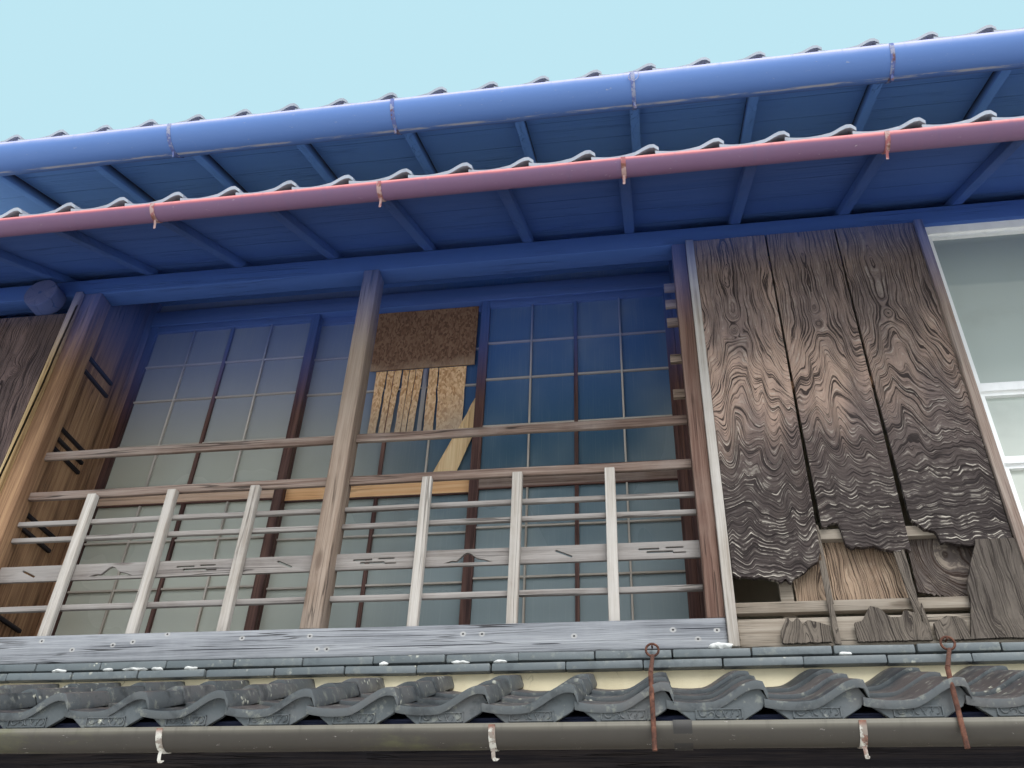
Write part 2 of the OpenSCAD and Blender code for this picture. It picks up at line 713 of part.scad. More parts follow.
// Behind the broken feet stand the boards of the box's inner lining
lining_shares = [[0.215, 0.6], [0.635, 0.84]];
lining_t = 10;
lining_ups = [167, 427];
function share_x(x, shares) = [for (s = shares) x[0] + s * (x[1] - x[0])];
module shutter_boards_right() color(wood_dark) placed() {
    x0 = right_box_x[0];
    broken_board([x0, x0 + board_1_w - board_gap], board_1_foot, stub_1);
    broken_board([x0 + board_1_w, x0 + board_1_w + board_2_w - board_gap], board_2_foot, stub_2);
    broken_board([x0 + board_1_w + board_2_w, box_r - board_gap], board_3_foot, stub_3);
    for (shares = lining_shares)
        block(share_x(right_box_x, shares), [batten_y[1], batten_y[1] + lining_t],
            [sill_z + lining_ups[0], sill_z + lining_ups[1]]);
}
shutter_left_top = log_z - log_d / 2 - 5;
module shutter_boards_left() color(wood_dark) placed() {
    w = (left_box_x[1] - left_box_x[0]) / 3;
    for (i = [0:2]) {
        x = left_box_x[0] + w * i;
        block([x, x + w - board_gap], board_y, [sill_top, shutter_left_top]);
    }
}

// Battens carry the boards; a stud shows through the hole at the foot of the right-hand box
batten_h = 40;
low_battens = [sill_z + 124, sill_z + 395];
top_batten = shutter_left_top - 50;
batten_zs = concat(low_battens, [(low_battens[1] + top_batten) / 2, top_batten]);
stud_shares = [0.16, 0.205];
stud_d = 32;
module shutter_battens() color(wood_brown) placed() {
    for (z = batten_zs) {
        left_z = max(z, sill_top);
        block(left_box_x, batten_y, [left_z, left_z + batten_h]);
        block(right_box_x, batten_y, [z, z + batten_h]);
    }
    block(share_x(right_box_x, stud_shares), [batten_y[1], batten_y[1] + stud_d],
        [sill_z + low_sill_h, low_battens[1] + batten_h]);
}

// Plain walls of the upper storey: behind the boxes, between the roofs, and at the rear
rear_sill_z = floor_z + 850;
rear_head_z = rear_sill_z + 1200;
frieze_y = [pent_end_y, pent_end_y + 70];
module upper_wall_panels() color(plaster_cream) placed() {
    for (i = [0, 2]) block(bay_span(i), [wall_y, wall_y] + infill_y, [floor_z, plate_z]);
    profile_x([inner_l, inner_r], [
        [frieze_y[0], plate_z + plate_t], [frieze_y[1], plate_z + plate_t],
        [frieze_y[1], main_z(frieze_y[1])], [frieze_y[0], main_z(frieze_y[0])]
    ]);
    at_rear() for (i = all_bays) {
        block(bay_span(i), infill_y, [sill_z, rear_sill_z]);
        block(bay_span(i), infill_y, [rear_head_z, rear_plate_z]);
    }
}

// White aluminium window of the right-hand bay: three sashes of three panes in a stepped frame
alu_x = [box_r, inner_r];
alu_y = [-20, 50];
alu_z = [sill_z + low_sill_h, eave_beam_z];
alu_edge = 40;
alu_top = 60;
alu_foot = 50;
alu_sashes = 3;
alu_lip = 16;
alu_step = 12;
alu_rail_ups = [[671, 724], [1001, 1064]];
alu_pane_w = (window_bay_w - alu_edge * (alu_sashes + 1)) / alu_sashes;
alu_pane_zs = [
    [alu_z[0] + alu_foot, sill_z + alu_rail_ups[0][0]],
    [sill_z + alu_rail_ups[0][1], sill_z + alu_rail_ups[1][0]],
    [sill_z + alu_rail_ups[1][1], alu_z[1] - alu_top]
];
function alu_pane_x(i) = alu_x[0] + alu_edge + (alu_pane_w + alu_edge) * i;
module alu_panes(y, lip) for (i = [0:alu_sashes - 1], z = alu_pane_zs)
    block(grown([alu_pane_x(i), alu_pane_x(i) + alu_pane_w], lip), y, grown(z, lip));
module side_window_frame() color(white_metal) placed() difference() {
    block(alu_x, alu_y, alu_z);
    alu_panes(grown(alu_y, cut_past), 0);
    alu_panes([alu_y[0] - cut_past, alu_y[0] + alu_step], alu_lip);
}
alu_glass_y = 10;
module side_window_glass() color(glass_teal) placed() alu_panes([alu_glass_y, alu_glass_y + glass_t], 0);

// A pair of plain sashes in each bay of the rear wall
rear_frame_y = [30, 70];
rear_frame_w = 50;
module rear_panes(y) at_rear() for (i = all_bays) {
    x = grown(bay_span(i), -rear_frame_w);
    z = grown([rear_sill_z, rear_head_z], -rear_frame_w);
    middle = (x[0] + x[1]) / 2;
    block([x[0], middle - rear_frame_w / 2], y, z);
    block([middle + rear_frame_w / 2, x[1]], y, z);
}
module rear_windows() color(wood_brown) placed() difference() {
    at_rear() for (i = all_bays) block(bay_span(i), rear_frame_y, [rear_sill_z, rear_head_z]);
    rear_panes(grown(rear_frame_y, cut_past));
}
module rear_glass() color(glass_teal) placed() rear_panes([window_glass_y, window_glass_y + glass_t]);

// Roof carriers

module eave_beam() color(wood_dark) placed()
    block([inner_l, inner_r], eave_beam_y, [eave_beam_z, eave_beam_top]);
module wall_plates() color(wood_dark) placed() {
    block([inner_l, inner_r], [wall_y, frieze_y[1]], [plate_z, plate_z + plate_t]);
    at_rear() block([inner_l, inner_r], [0, rear_plate_d], [rear_plate_z, main_z(0)]);
}
purlin = 150;
side_purlin_y = ridge_y * 0.55;
module purlin_at(y) {
    top = main_z(y - purlin / 2);
    block([inner_l, inner_r], grown([y, y], purlin / 2), [top - purlin, top]);
}
module roof_purlins() color(wood_dark) placed() {
    front_and_rear() purlin_at(side_purlin_y);
    purlin_at(ridge_y);
}
module rafters(x0, step, y, eave, pitch, thick) for (x = rafter_xs(x0, step))
    sloping_layer(grown([x, x], rafter_w / 2), y, eave, pitch, 0, thick);
module boarding(y, eave, pitch, rafter_t)
    sloping_layer([outer_l, outer_r], y, eave, pitch, rafter_t, deck_t);

// Lower eave: three stepped courses of tiles, a plaster band and two flat courses under the sill

module low_rafters() color(wood_dark) placed()
    rafters(low_strap_x, low_rafter_step, [low_rafter_y, low_end_y], low_eave, low_pitch, low_rafter_t);
module low_deck() color(wood_dark) placed()
    boarding([low_eave_y, low_end_y], low_eave, low_pitch, low_rafter_t);
low_crest_x = -421;
low_tile_y = [low_eave_y - 5, -60];
low_courses = 3;
course_gap = 2;
tail_rise = 14;
module low_tiles() color(tile_grey) placed() {
    lift = low_rafter_t + deck_t;
    run = (low_tile_y[1] - low_tile_y[0]) / low_courses;
    for (i = [0:low_courses - 1]) {
        y0 = low_tile_y[0] + run * i;
        tile_slope([y0, y0 + run - course_gap], low_eave, low_pitch, lift, low_crest_x, tail_rise);
    }
}
band_y = [low_tile_y[1], low_end_y];
module plaster_band() color(plaster_cream) placed() {
    lift = low_rafter_t + deck_t;
    profile_x([outer_l, outer_r], [
        [band_y[0], low_z(band_y[0]) + lift], [band_y[1], low_z(band_y[1]) + lift],
        [band_y[1], band_top], [band_y[0], band_top]
    ]);
}
course_y = [-90, low_end_y];
course_step = 6;
module ridge_courses() color(tile_grey) placed() {
    block([outer_l, outer_r], [course_y[0] + course_step, course_y[1]], [band_top, band_top + course_h]);
    block([outer_l, outer_r], course_y, [band_top + course_h, sill_z]);
}
module low_gutter() color(taupe) placed() gutter(low_lip_y, low_lip_z, low_gutter_d);

// Rusted rods hang by a ring on a nail in the flat courses, pass over the tiles and hold the gutter.
// Each runs from the X of its ring to the X of its foot; the right-hand one leans to the left
hook_runs = [[bay_r - 241.5, bay_r - 241.5], [bay_r + 697, bay_r + 509]];
hook_d = 13;
hook_seat = 0.3;
hook_y = low_lip_y - hook_d / 2 - hook_seat;
hook_top = [course_y[0] - 18, sill_z - 45];
hook_elbow_z = low_lip_z + 127;
hook_foot_z = low_lip_z - 72;
ring_d = 42;
ring_wire = 8;
nail_d = 6;
rod_lap = 2;
ring_z = hook_top[1] + ring_d / 2;
nail_z = ring_z + (ring_d - ring_wire - nail_d) / 2 - hook_seat;
module iron_hooks() color(rust) placed() for (run = hook_runs) {
    rod([run[0], course_y[0], nail_z], [run[0], hook_top[0] - ring_wire, nail_z], nail_d);
    translate([run[0], hook_top[0], ring_z]) rotate([90, 0, 0])
        rotate_extrude($fn = 32) translate([ring_d / 2, 0]) circle(d = ring_wire, $fn = 16);
    rod([run[0], hook_top[0], hook_top[1]], [run[1], hook_y - rod_lap, hook_elbow_z], hook_d);
    rod([run[1], hook_y, hook_elbow_z + rod_lap], [run[1], hook_y, hook_foot_z], hook_d);
}

// Pent roof over the lattice

module pent_rafters() color(wood_dark) placed()
    rafters(pent_strap_x, pent_rafter_step, [pent_rafter_y, pent_end_y], pent_eave, pent_pitch, pent_rafter_t);
module pent_deck() color(wood_dark) placed()
    boarding([pent_eave_y, pent_end_y], pent_eave, pent_pitch, pent_rafter_t);
pent_crest_x = -1357;
pent_overhang = 25;
module pent_tiles() color(tile_grey) placed() {
    y = [pent_eave_y - pent_overhang, pent_end_y];
    tile_slope(y, pent_eave, pent_pitch, pent_rafter_t + deck_t, pent_crest_x);
}
module pent_gutter() color(faded_red) placed() gutter(pent_lip_y, pent_lip_z, pent_gutter_d);

// Main roof: both slopes mirror about the ridge

main_top_y = ridge_y - ridge_gap;
module main_rafters() color(wood_dark) placed() front_and_rear()
    rafters(main_strap_x, main_rafter_step, [main_rafter_y, main_top_y], main_eave, main_pitch, main_rafter_t);
module main_deck() color(wood_dark) placed() front_and_rear()
    boarding([main_eave_y, main_top_y], main_eave, main_pitch, main_rafter_t);
main_crest_x = -1082;
main_overhang = 40;
module main_tiles() color(tile_grey) placed() front_and_rear() {
    y = [main_eave_y - main_overhang, main_top_y];
    tile_slope(y, main_eave, main_pitch, main_rafter_t + deck_t, main_crest_x);
}

// The ridge: a saddle of clay on the crests, three flat courses that step in, and a round cap
ridge_w = 260;
ridge_step = 24;
ridge_rows = 3;
ridge_row_h = 50;
ridge_cap_d = 160;
module main_ridge() color(tile_grey) placed() {
    crest_z = main_z(ridge_y) + main_rafter_t + deck_t + (tile_t + tile_wave) / cos(atan(main_pitch));
    fall = main_pitch * ridge_w / 2;
    translate([outer_l, ridge_y, crest_z]) rotate([90, 0, 90]) linear_extrude(front_len) {
        polygon([[-ridge_w / 2, -fall], [0, 0], [ridge_w / 2, -fall], [ridge_w / 2, 1], [-ridge_w / 2, 1]]);
        for (i = [0:ridge_rows - 1]) {
            row_w = ridge_w - 2 * ridge_step * i;
            translate([-row_w / 2, ridge_row_h * i]) square([row_w, ridge_row_h]);
        }
        translate([0, ridge_row_h * ridge_rows]) circle(d = ridge_cap_d, $fn = 48);
    }
}
module main_gutters() color(slate_blue) placed()
    front_and_rear() gutter(main_lip_y, main_lip_z, main_gutter_d);

module gutter_straps() color(white_metal) placed() {
    for (x = strap_xs(low_strap_x, low_rafter_step))
        strap(x, low_lip_y, low_lip_z, low_gutter_d, low_z(low_rafter_y) + low_rafter_t - strap_t);
    for (x = strap_xs(pent_strap_x, pent_rafter_step))
        strap(x, pent_lip_y, pent_lip_z, pent_gutter_d, pent_z(pent_rafter_y) + pent_rafter_t - strap_t);
    front_and_rear() for (x = strap_xs(main_strap_x, main_rafter_step))
        strap(x, main_lip_y, main_lip_z, main_gutter_d, main_z(main_rafter_y) + main_rafter_t - strap_t);
}

foundation_stones();
ground_sills();
ground_floor();
ground_posts();
ground_rails();
ground_beams();
ground_wall_panels();
ground_lattice();
ground_doors();
ground_glass();
party_wall_left();
party_wall_right();
floor_beams();
rim_beams();
upper_floor();
sill_beam();
bay_posts();
corner_trims();
railing_balusters();
railing_rails();
openwork_board();
gallery_side_boards();
return_battens();
inner_posts();
door_tracks();
glass_door_left();
glass_door_middle();
glass_door_right();
door_glass();
repair_boards();
shutter_boards_left();
shutter_boards_right();
shutter_battens();
upper_wall_panels();
side_window_frame();
side_window_glass();
rear_windows();
rear_glass();
eave_beam();
log_end();
wall_plates();
roof_purlins();
low_rafters();
low_deck();
low_tiles();
plaster_band();
ridge_courses();
low_gutter();
iron_hooks();
pent_rafters();
pent_deck();
pent_tiles();
pent_gutter();
main_rafters();
main_deck();
main_tiles();
main_ridge();
main_gutters();
gutter_straps();
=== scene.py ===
# %% [markdown]
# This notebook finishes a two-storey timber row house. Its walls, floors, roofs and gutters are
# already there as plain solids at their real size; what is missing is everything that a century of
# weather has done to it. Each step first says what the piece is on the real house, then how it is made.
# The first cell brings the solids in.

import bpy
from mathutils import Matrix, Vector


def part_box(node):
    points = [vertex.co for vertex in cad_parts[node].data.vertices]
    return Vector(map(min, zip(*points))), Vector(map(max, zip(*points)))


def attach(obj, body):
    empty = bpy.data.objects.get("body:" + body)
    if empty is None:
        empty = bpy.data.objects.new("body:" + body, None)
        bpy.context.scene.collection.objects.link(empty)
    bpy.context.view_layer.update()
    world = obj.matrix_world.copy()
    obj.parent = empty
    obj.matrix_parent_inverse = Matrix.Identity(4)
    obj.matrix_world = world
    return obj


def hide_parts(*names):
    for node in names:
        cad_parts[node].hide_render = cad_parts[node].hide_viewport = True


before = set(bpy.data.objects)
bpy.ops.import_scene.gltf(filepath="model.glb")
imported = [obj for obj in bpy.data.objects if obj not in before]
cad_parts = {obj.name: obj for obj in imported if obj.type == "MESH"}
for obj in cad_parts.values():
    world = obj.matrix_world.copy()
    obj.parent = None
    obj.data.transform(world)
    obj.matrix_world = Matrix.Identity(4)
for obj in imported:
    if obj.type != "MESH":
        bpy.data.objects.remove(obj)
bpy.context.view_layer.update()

# %% Libraries
import math
import random

import bmesh
import bpy
import numpy as np
from mathutils import Matrix, Vector, noise

# %% [markdown]
# Sizes are easier to follow from the street than from the middle of the house. So every piece is drawn
# with X measured from the middle of the gallery, Y from the street face of the wall into the house, and
# Z from the ground, in metres. The sill beam gives the shift between the two, because its left end and
# its face are known in both, and a piece is shifted once, when it is finished.

# %% The street frame
SILL_LEFT_END = -2.5305
SILL_FACE = -0.050
sill_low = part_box("sill_beam")[0]
STREET = Vector((sill_low.x - SILL_LEFT_END, sill_low.y - SILL_FACE, 0))


def street_box(node):
    low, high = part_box(node)
    return low - STREET, high - STREET


print("street frame starts at", tuple(round(v, 4) for v in STREET))

# %% [markdown]
# The picture was taken from the pavement across a narrow street, at eye height, looking steeply up at
# the gallery and a little to the left, with the phone slightly tilted. A camera's own axes are X to the
# right, Y up and Z backwards, so the three directions below become the columns of its matrix.

# %% Camera
EYE = Vector((1.276, -3.162, 1.65))
YAW = math.radians(-10.345)
PITCH = math.radians(36.997)
ROLL = math.radians(2.562)
LENS = 32.70
SENSOR = 36.0


def camera_matrix():
    forward = Vector((math.sin(YAW) * math.cos(PITCH), math.cos(YAW) * math.cos(PITCH), math.sin(PITCH)))
    level = Vector((math.cos(YAW), -math.sin(YAW), 0))
    upright = level.cross(forward)
    right = level * math.cos(ROLL) + upright * math.sin(ROLL)
    up = upright * math.cos(ROLL) - level * math.sin(ROLL)
    turned = Matrix((right, up, -forward)).transposed()
    return Matrix.Translation(EYE + STREET) @ turned.to_4x4()


camera_data = bpy.data.cameras.new("camera")
camera_data.lens = LENS
camera_data.sensor_width = SENSOR
camera = bpy.data.objects.new("camera", camera_data)
camera.matrix_world = camera_matrix()
bpy.context.scene.collection.objects.link(camera)
bpy.context.scene.camera = camera
bpy.context.scene.view_settings.view_transform = "Standard"
print("camera at", tuple(round(v, 3) for v in camera.location))

# %% [markdown]
# A colour should render about as it is written, so the light is plain: a pale sky all round, and one
# very large soft lamp in front of the house, high up, that leaves the soffits in shade as in the street.
# Rays that come straight from the camera, or by way of glass or metal, see a pale sky blue instead.

# %% Sky and lamp
SKY_SHOWN = (0.52, 0.80, 0.90, 1)
SKY_LIGHT = (0.86, 0.93, 1.0, 1)
SKY_STRENGTH = 1.22
SUN_STRENGTH = 2.6
SUN_SOFTNESS = math.radians(35)
SUN_FROM = Vector((0.45, -1.0, 1.15))


def make_sky():
    world = bpy.data.worlds.new("sky")
    world.use_nodes = True
    tree = world.node_tree
    light = tree.nodes["Background"]
    light.inputs["Color"].default_value = SKY_LIGHT
    light.inputs["Strength"].default_value = SKY_STRENGTH
    shown = tree.nodes.new("ShaderNodeBackground")
    shown.inputs["Color"].default_value = SKY_SHOWN
    path = tree.nodes.new("ShaderNodeLightPath")
    seen = path.outputs["Is Camera Ray"]
    for kind in ("Is Glossy Ray", "Is Transmission Ray"):
        either = tree.nodes.new("ShaderNodeMath")
        either.operation = "MAXIMUM"
        tree.links.new(seen, either.inputs[0])
        tree.links.new(path.outputs[kind], either.inputs[1])
        seen = either.outputs[0]
    mix = tree.nodes.new("ShaderNodeMixShader")
    tree.links.new(seen, mix.inputs[0])
    tree.links.new(light.outputs[0], mix.inputs[1])
    tree.links.new(shown.outputs[0], mix.inputs[2])
    tree.links.new(mix.outputs[0], tree.nodes["World Output"].inputs["Surface"])
    bpy.context.scene.world = world


def make_lamp():
    data = bpy.data.lights.new("soft_lamp", "SUN")
    data.energy = SUN_STRENGTH
    data.angle = SUN_SOFTNESS
    lamp = bpy.data.objects.new("soft_lamp", data)
    lamp.rotation_mode = "QUATERNION"
    lamp.rotation_quaternion = SUN_FROM.to_track_quat("Z", "Y")
    bpy.context.scene.collection.objects.link(lamp)


make_sky()
make_lamp()
print("sky and lamp ready")

# %% [markdown]
# A finish is a small network of shader nodes, and networks are easier to read as sums. A Wire wraps one
# output socket: adding or multiplying wires adds the Math node that works it out. A Finish is a material,
# and its node() makes any other node from a type, its settings and what goes into its sockets. The rest
# are short names for the few nodes that every finish uses.

# %% Wires and finishes
class Wire:
    """An output socket. Arithmetic on wires and numbers adds Math nodes."""

    def __init__(self, finish, socket):
        self.finish = finish
        self.socket = socket

    def math(self, operation, *terms):
        return self.finish.node("ShaderNodeMath", {"operation": operation}, terms)

    def __add__(self, other):
        return self.math("ADD", self, other)

    def __sub__(self, other):
        return self.math("SUBTRACT", self, other)

    def __rsub__(self, other):
        return self.math("SUBTRACT", other, self)

    def __mul__(self, other):
        return self.math("MULTIPLY", self, other)

    def __gt__(self, other):
        return self.math("GREATER_THAN", self, other)

    __radd__ = __add__
    __rmul__ = __mul__

    def size(self):
        return self.math("ABSOLUTE", self)

    def wave(self):
        return self.math("SINE", self * math.tau)

    def part(self, axis):
        return self.finish.node("ShaderNodeSeparateXYZ", {}, [self], out=axis)

    def stretch(self, *factors):
        return self.finish.node("ShaderNodeVectorMath", {"operation": "MULTIPLY"}, [self, factors])

    def shift(self, other):
        return self.finish.node("ShaderNodeVectorMath", {"operation": "ADD"}, [self, other])

    def length(self):
        return self.finish.node("ShaderNodeVectorMath", {"operation": "LENGTH"}, [self], out="Value")


class Finish:
    """A material built from wires."""

    def __init__(self, name):
        self.material = bpy.data.materials.new(name)
        self.material.use_nodes = True
        self.tree = self.material.node_tree
        self.shader = self.tree.nodes["Principled BSDF"]

    def node(self, kind, settings, inputs, out=0):
        made = self.tree.nodes.new(kind)
        for key, value in settings.items():
            if key == "stops":
                self.set_stops(made.color_ramp, value)
            else:
                setattr(made, key, value)
        pairs = inputs.items() if isinstance(inputs, dict) else enumerate(inputs)
        for key, value in pairs:
            if isinstance(value, Wire):
                self.tree.links.new(value.socket, made.inputs[key])
            else:
                made.inputs[key].default_value = value
        return Wire(self, made.outputs[out])

    def set_stops(self, ramp, stops):
        while len(ramp.elements) < len(stops):
            ramp.elements.new(1)
        for element, (place, colour) in zip(ramp.elements, stops):
            element.position = place
            element.color = colour

    def place(self):
        return self.node("ShaderNodeTexCoord", {}, [], out="Object")

    def upward(self):
        """How far a face looks up, from -1 to 1."""
        return self.node("ShaderNodeNewGeometry", {}, [], "Normal").part(2)

    def read(self, name, out="Fac"):
        return self.node("ShaderNodeAttribute", {"attribute_name": name}, [], out)

    def cloud(self, where, scale=1.0, detail=3.0, rough=0.5):
        inputs = {"Vector": where, "Scale": scale, "Detail": detail, "Roughness": rough}
        return self.node("ShaderNodeTexNoise", {}, inputs)

    def cells(self, where, scale, out="Distance"):
        return self.node("ShaderNodeTexVoronoi", {}, {"Vector": where, "Scale": scale}, out)

    def fade(self, value, start, end):
        inputs = {"Value": value, "From Min": start, "From Max": end}
        return self.node("ShaderNodeMapRange", {"interpolation_type": "SMOOTHSTEP"}, inputs)

    def far(self, centre, radii=(1, 1, 1)):
        """How far a point lies from a centre, in radii. The centre is given in the street frame."""
        inverse = [1 / r for r in radii]
        return self.place().shift(-(Vector(centre) + STREET)).stretch(*inverse).length()

    def mix(self, share, first, second):
        return self.node("ShaderNodeMix", {"data_type": "RGBA"}, {0: share, 6: first, 7: second}, out=2)

    def shades(self, value, *stops):
        return self.node("ShaderNodeValToRGB", {"stops": stops}, [value])

    def bump(self, height, depth):
        return self.node("ShaderNodeBump", {}, {"Height": height, "Distance": depth})

    def apply(self, **sockets):
        names = {"colour": "Base Color", "rough": "Roughness", "normal": "Normal", "alpha": "Alpha",
                 "gloss": "Specular IOR Level"}
        for key, value in sockets.items():
            socket = self.shader.inputs[names[key]]
            if isinstance(value, Wire):
                self.tree.links.new(value.socket, socket)
            else:
                socket.default_value = value
        return self.material


def tint(red, green, blue):
    """A colour as a paint chart or a picture gives it, 0 to 255, made linear for the shader."""
    shares = [c / 255 for c in (red, green, blue)]
    linear = [c / 12.92 if c <= 0.04045 else ((c + 0.055) / 1.055) ** 2.4 for c in shares]
    return (*linear, 1.0)


print("finishes can be written as sums")

# %% [markdown]
# The floor round the house is only a pale disc that takes its shadow and throws light up at the eaves.

# %% Floor
FLOOR_RADIUS = 45
FLOOR_TINT = tint(214, 213, 208)


def make_floor():
    bm = bmesh.new()
    bmesh.ops.create_circle(bm, cap_ends=True, segments=96, radius=FLOOR_RADIUS)
    mesh = bpy.data.meshes.new("floor")
    bm.to_mesh(mesh)
    bm.free()
    finish = Finish("pale_floor")
    mesh.materials.append(finish.apply(colour=FLOOR_TINT, rough=0.9))
    floor = bpy.data.objects.new("floor", mesh)
    bpy.context.scene.collection.objects.link(floor)


make_floor()
print("floor radius", FLOOR_RADIUS)

# %% [markdown]
# Old cedar and pine go grey outside and stay brown where the eaves shelter them. The soft early wood
# wears away and leaves the hard lines standing, then the sun opens long checks along them. All of it
# follows the length of the stick, so each stick carries its own coordinates in an attribute named grain:
# first along it, then across. Noise stretched along the first one gives bands, fibres and checks.

# %% Wood finishes
# A painted shade and haze, blue-black, thickens over all wood between these heights, towards the eaves
SHADE_HAZE_FROM, SHADE_HAZE_TO = 4.25, 4.95
SHADE_HAZE_SHARE = 0.85
SHADE_HAZE = tint(68, 104, 178)
HIGH_SHADE_HAZE = tint(128, 178, 248)
# Which faces take it, by how far they look up: all but the tops, or the undersides only
NOT_ABOVE = (0.6, 0.3)
ONLY_BELOW = (0.2, -0.3)


def knots(finish, grain):
    """1 in the heart of a knot, 0 elsewhere. Only some of the cells hold one."""
    spread = grain.stretch(2.2, 9, 9)
    near = finish.fade(finish.cells(spread, 1.0), 0.16, 0.06)
    chosen = finish.cells(spread, 1.0, out="Color").part(0) > 0.72
    return near * chosen


def plank_grain(finish, along, across, width):
    """Grain, tone and seams of boards laid side by side on a surface whose mesh has none of them."""
    place = finish.place()
    count = place.part(across) * (1 / width)
    board = {"W": count.math("FLOOR", count)}
    seed = finish.node("ShaderNodeTexWhiteNoise", {"noise_dimensions": "1D"}, board, "Color")
    order = [along, across, 3 - along - across]
    turned = finish.node("ShaderNodeCombineXYZ", {}, [place.part(axis) for axis in order])
    seam = (count.math("FRACT", count) - 0.5).size()
    return turned.shift(seed.stretch(9, 9, 9)), seed.part(1), finish.fade(seam, 0.475, 0.492)


def wood(name, dark, mid, pale, grey, weather=0.5, checks=0.6, depth=0.003, rough=0.82, planks=None,
         marks=(), soot=SHADE_HAZE, soot_faces=NOT_ABOVE):
    finish = Finish(name)
    seam = None
    if planks:
        grain, tone, seam = plank_grain(finish, *planks)
    else:
        grain, tone = finish.read("grain", "Vector"), finish.read("tone")
    knot = knots(finish, grain)
    wander = finish.cloud(grain.stretch(1.1, 6, 6), detail=2) + knot * 0.25
    bands = finish.cloud(grain.stretch(0.6, 20, 20).shift(wander), detail=5, rough=0.62)
    streaks = finish.cloud(grain.stretch(1.5, 110, 110).shift(wander * 3), detail=3, rough=0.6)
    fibres = finish.cloud(grain.stretch(8, 460, 460), detail=2)
    split = (finish.cloud(grain.stretch(0.9, 34, 34), detail=3, rough=0.45) - 0.5).size()
    check = finish.fade(split, 0.016, 0.003) * finish.fade(finish.cloud(grain.stretch(2, 5, 5)), 0.46, 0.60)
    figure = bands * 0.5 + streaks * 0.3 + fibres * 0.2
    brown = finish.shades(figure, (0.37, dark), (0.48, mid), (0.61, pale))
    patch = finish.cloud(finish.place(), 2.6, detail=5, rough=0.65)
    worn = finish.fade(patch, 0.62 - weather * 0.4, 0.95 - weather * 0.4)
    colour = finish.mix(worn * 0.75, brown, finish.mix(streaks * 0.5 + fibres * 0.3, grey, pale))
    colour = finish.mix((1 - tone) * 0.25, colour, dark)
    colour = finish.mix(knot * 0.8, colour, dark)
    colour = finish.mix(check * checks, colour, tint(30, 24, 22))
    for x, z, wide, tall, shade in marks:
        far = finish.far((x, SILL_FACE, z), (wide, 0.02, tall))
        colour = finish.mix(finish.fade(far, 1.0, 0.7), colour, shade)
    height = figure + fibres * 0.4 - check * 1.6 - knot * 0.2
    if seam is not None:
        colour = finish.mix(seam * 0.7, colour, tint(12, 11, 14))
        height = height - seam * 2
    upward = finish.upward()
    # Painted shade and haze: near the eaves, faces turned from the sky are mixed towards blue-black
    shade_hazed = finish.fade(finish.place().part(2), SHADE_HAZE_FROM, SHADE_HAZE_TO) * finish.fade(upward, *soot_faces)
    colour = finish.mix(shade_hazed * SHADE_HAZE_SHARE, colour, soot)
    return finish.apply(colour=colour, rough=rough, normal=finish.bump(height, depth), gloss=0.25)


# Pegs and nail heads with a bleached ring on the sill's face, each as X and Z
PEGS = [
    (-1.075, 2.943), (-0.936, 2.905), (-0.774, 2.920), (-0.696, 2.930), (-0.564, 2.957), (-0.263, 2.934),
    (-0.001, 2.935), (0.035, 2.885), (0.072, 2.884), (0.571, 2.928), (0.640, 2.926), (0.968, 2.910),
    (1.310, 2.923), (1.458, 2.918), (1.392, 2.888),
]
# Long cracks in the same face: X, Z, half its length
CRACKS = [
    (-0.690, 2.910, 0.105), (-0.300, 2.893, 0.30), (0.45, 2.888, 0.30), (1.395, 2.926, 0.10),
    (0.87, 2.884, 0.06),
]
HALO, HEART, CRACK = tint(176, 174, 172), tint(46, 40, 40), tint(34, 34, 42)
sill_marks = [(x, z, 0.013, 0.011, HALO) for x, z in PEGS]
sill_marks += [(x, z, 0.0045, 0.004, HEART) for x, z in PEGS]
sill_marks += [(x, z, half, 0.0022, CRACK) for x, z, half in CRACKS]

# Painted shade: the eave and soffit colours are blue-black, as these timbers lie in the shade of the eaves
SHADED_EAVE_COLOURS = (20, 21, 32), (36, 34, 46), (60, 52, 60), (46, 48, 64)
SHADED_SOFFIT_COLOURS = (30, 34, 54), (46, 52, 78), (66, 70, 92), (58, 64, 90)
SOFFIT = dict(weather=0.3, checks=0.4, planks=(0, 1, 0.19), soot_faces=ONLY_BELOW)
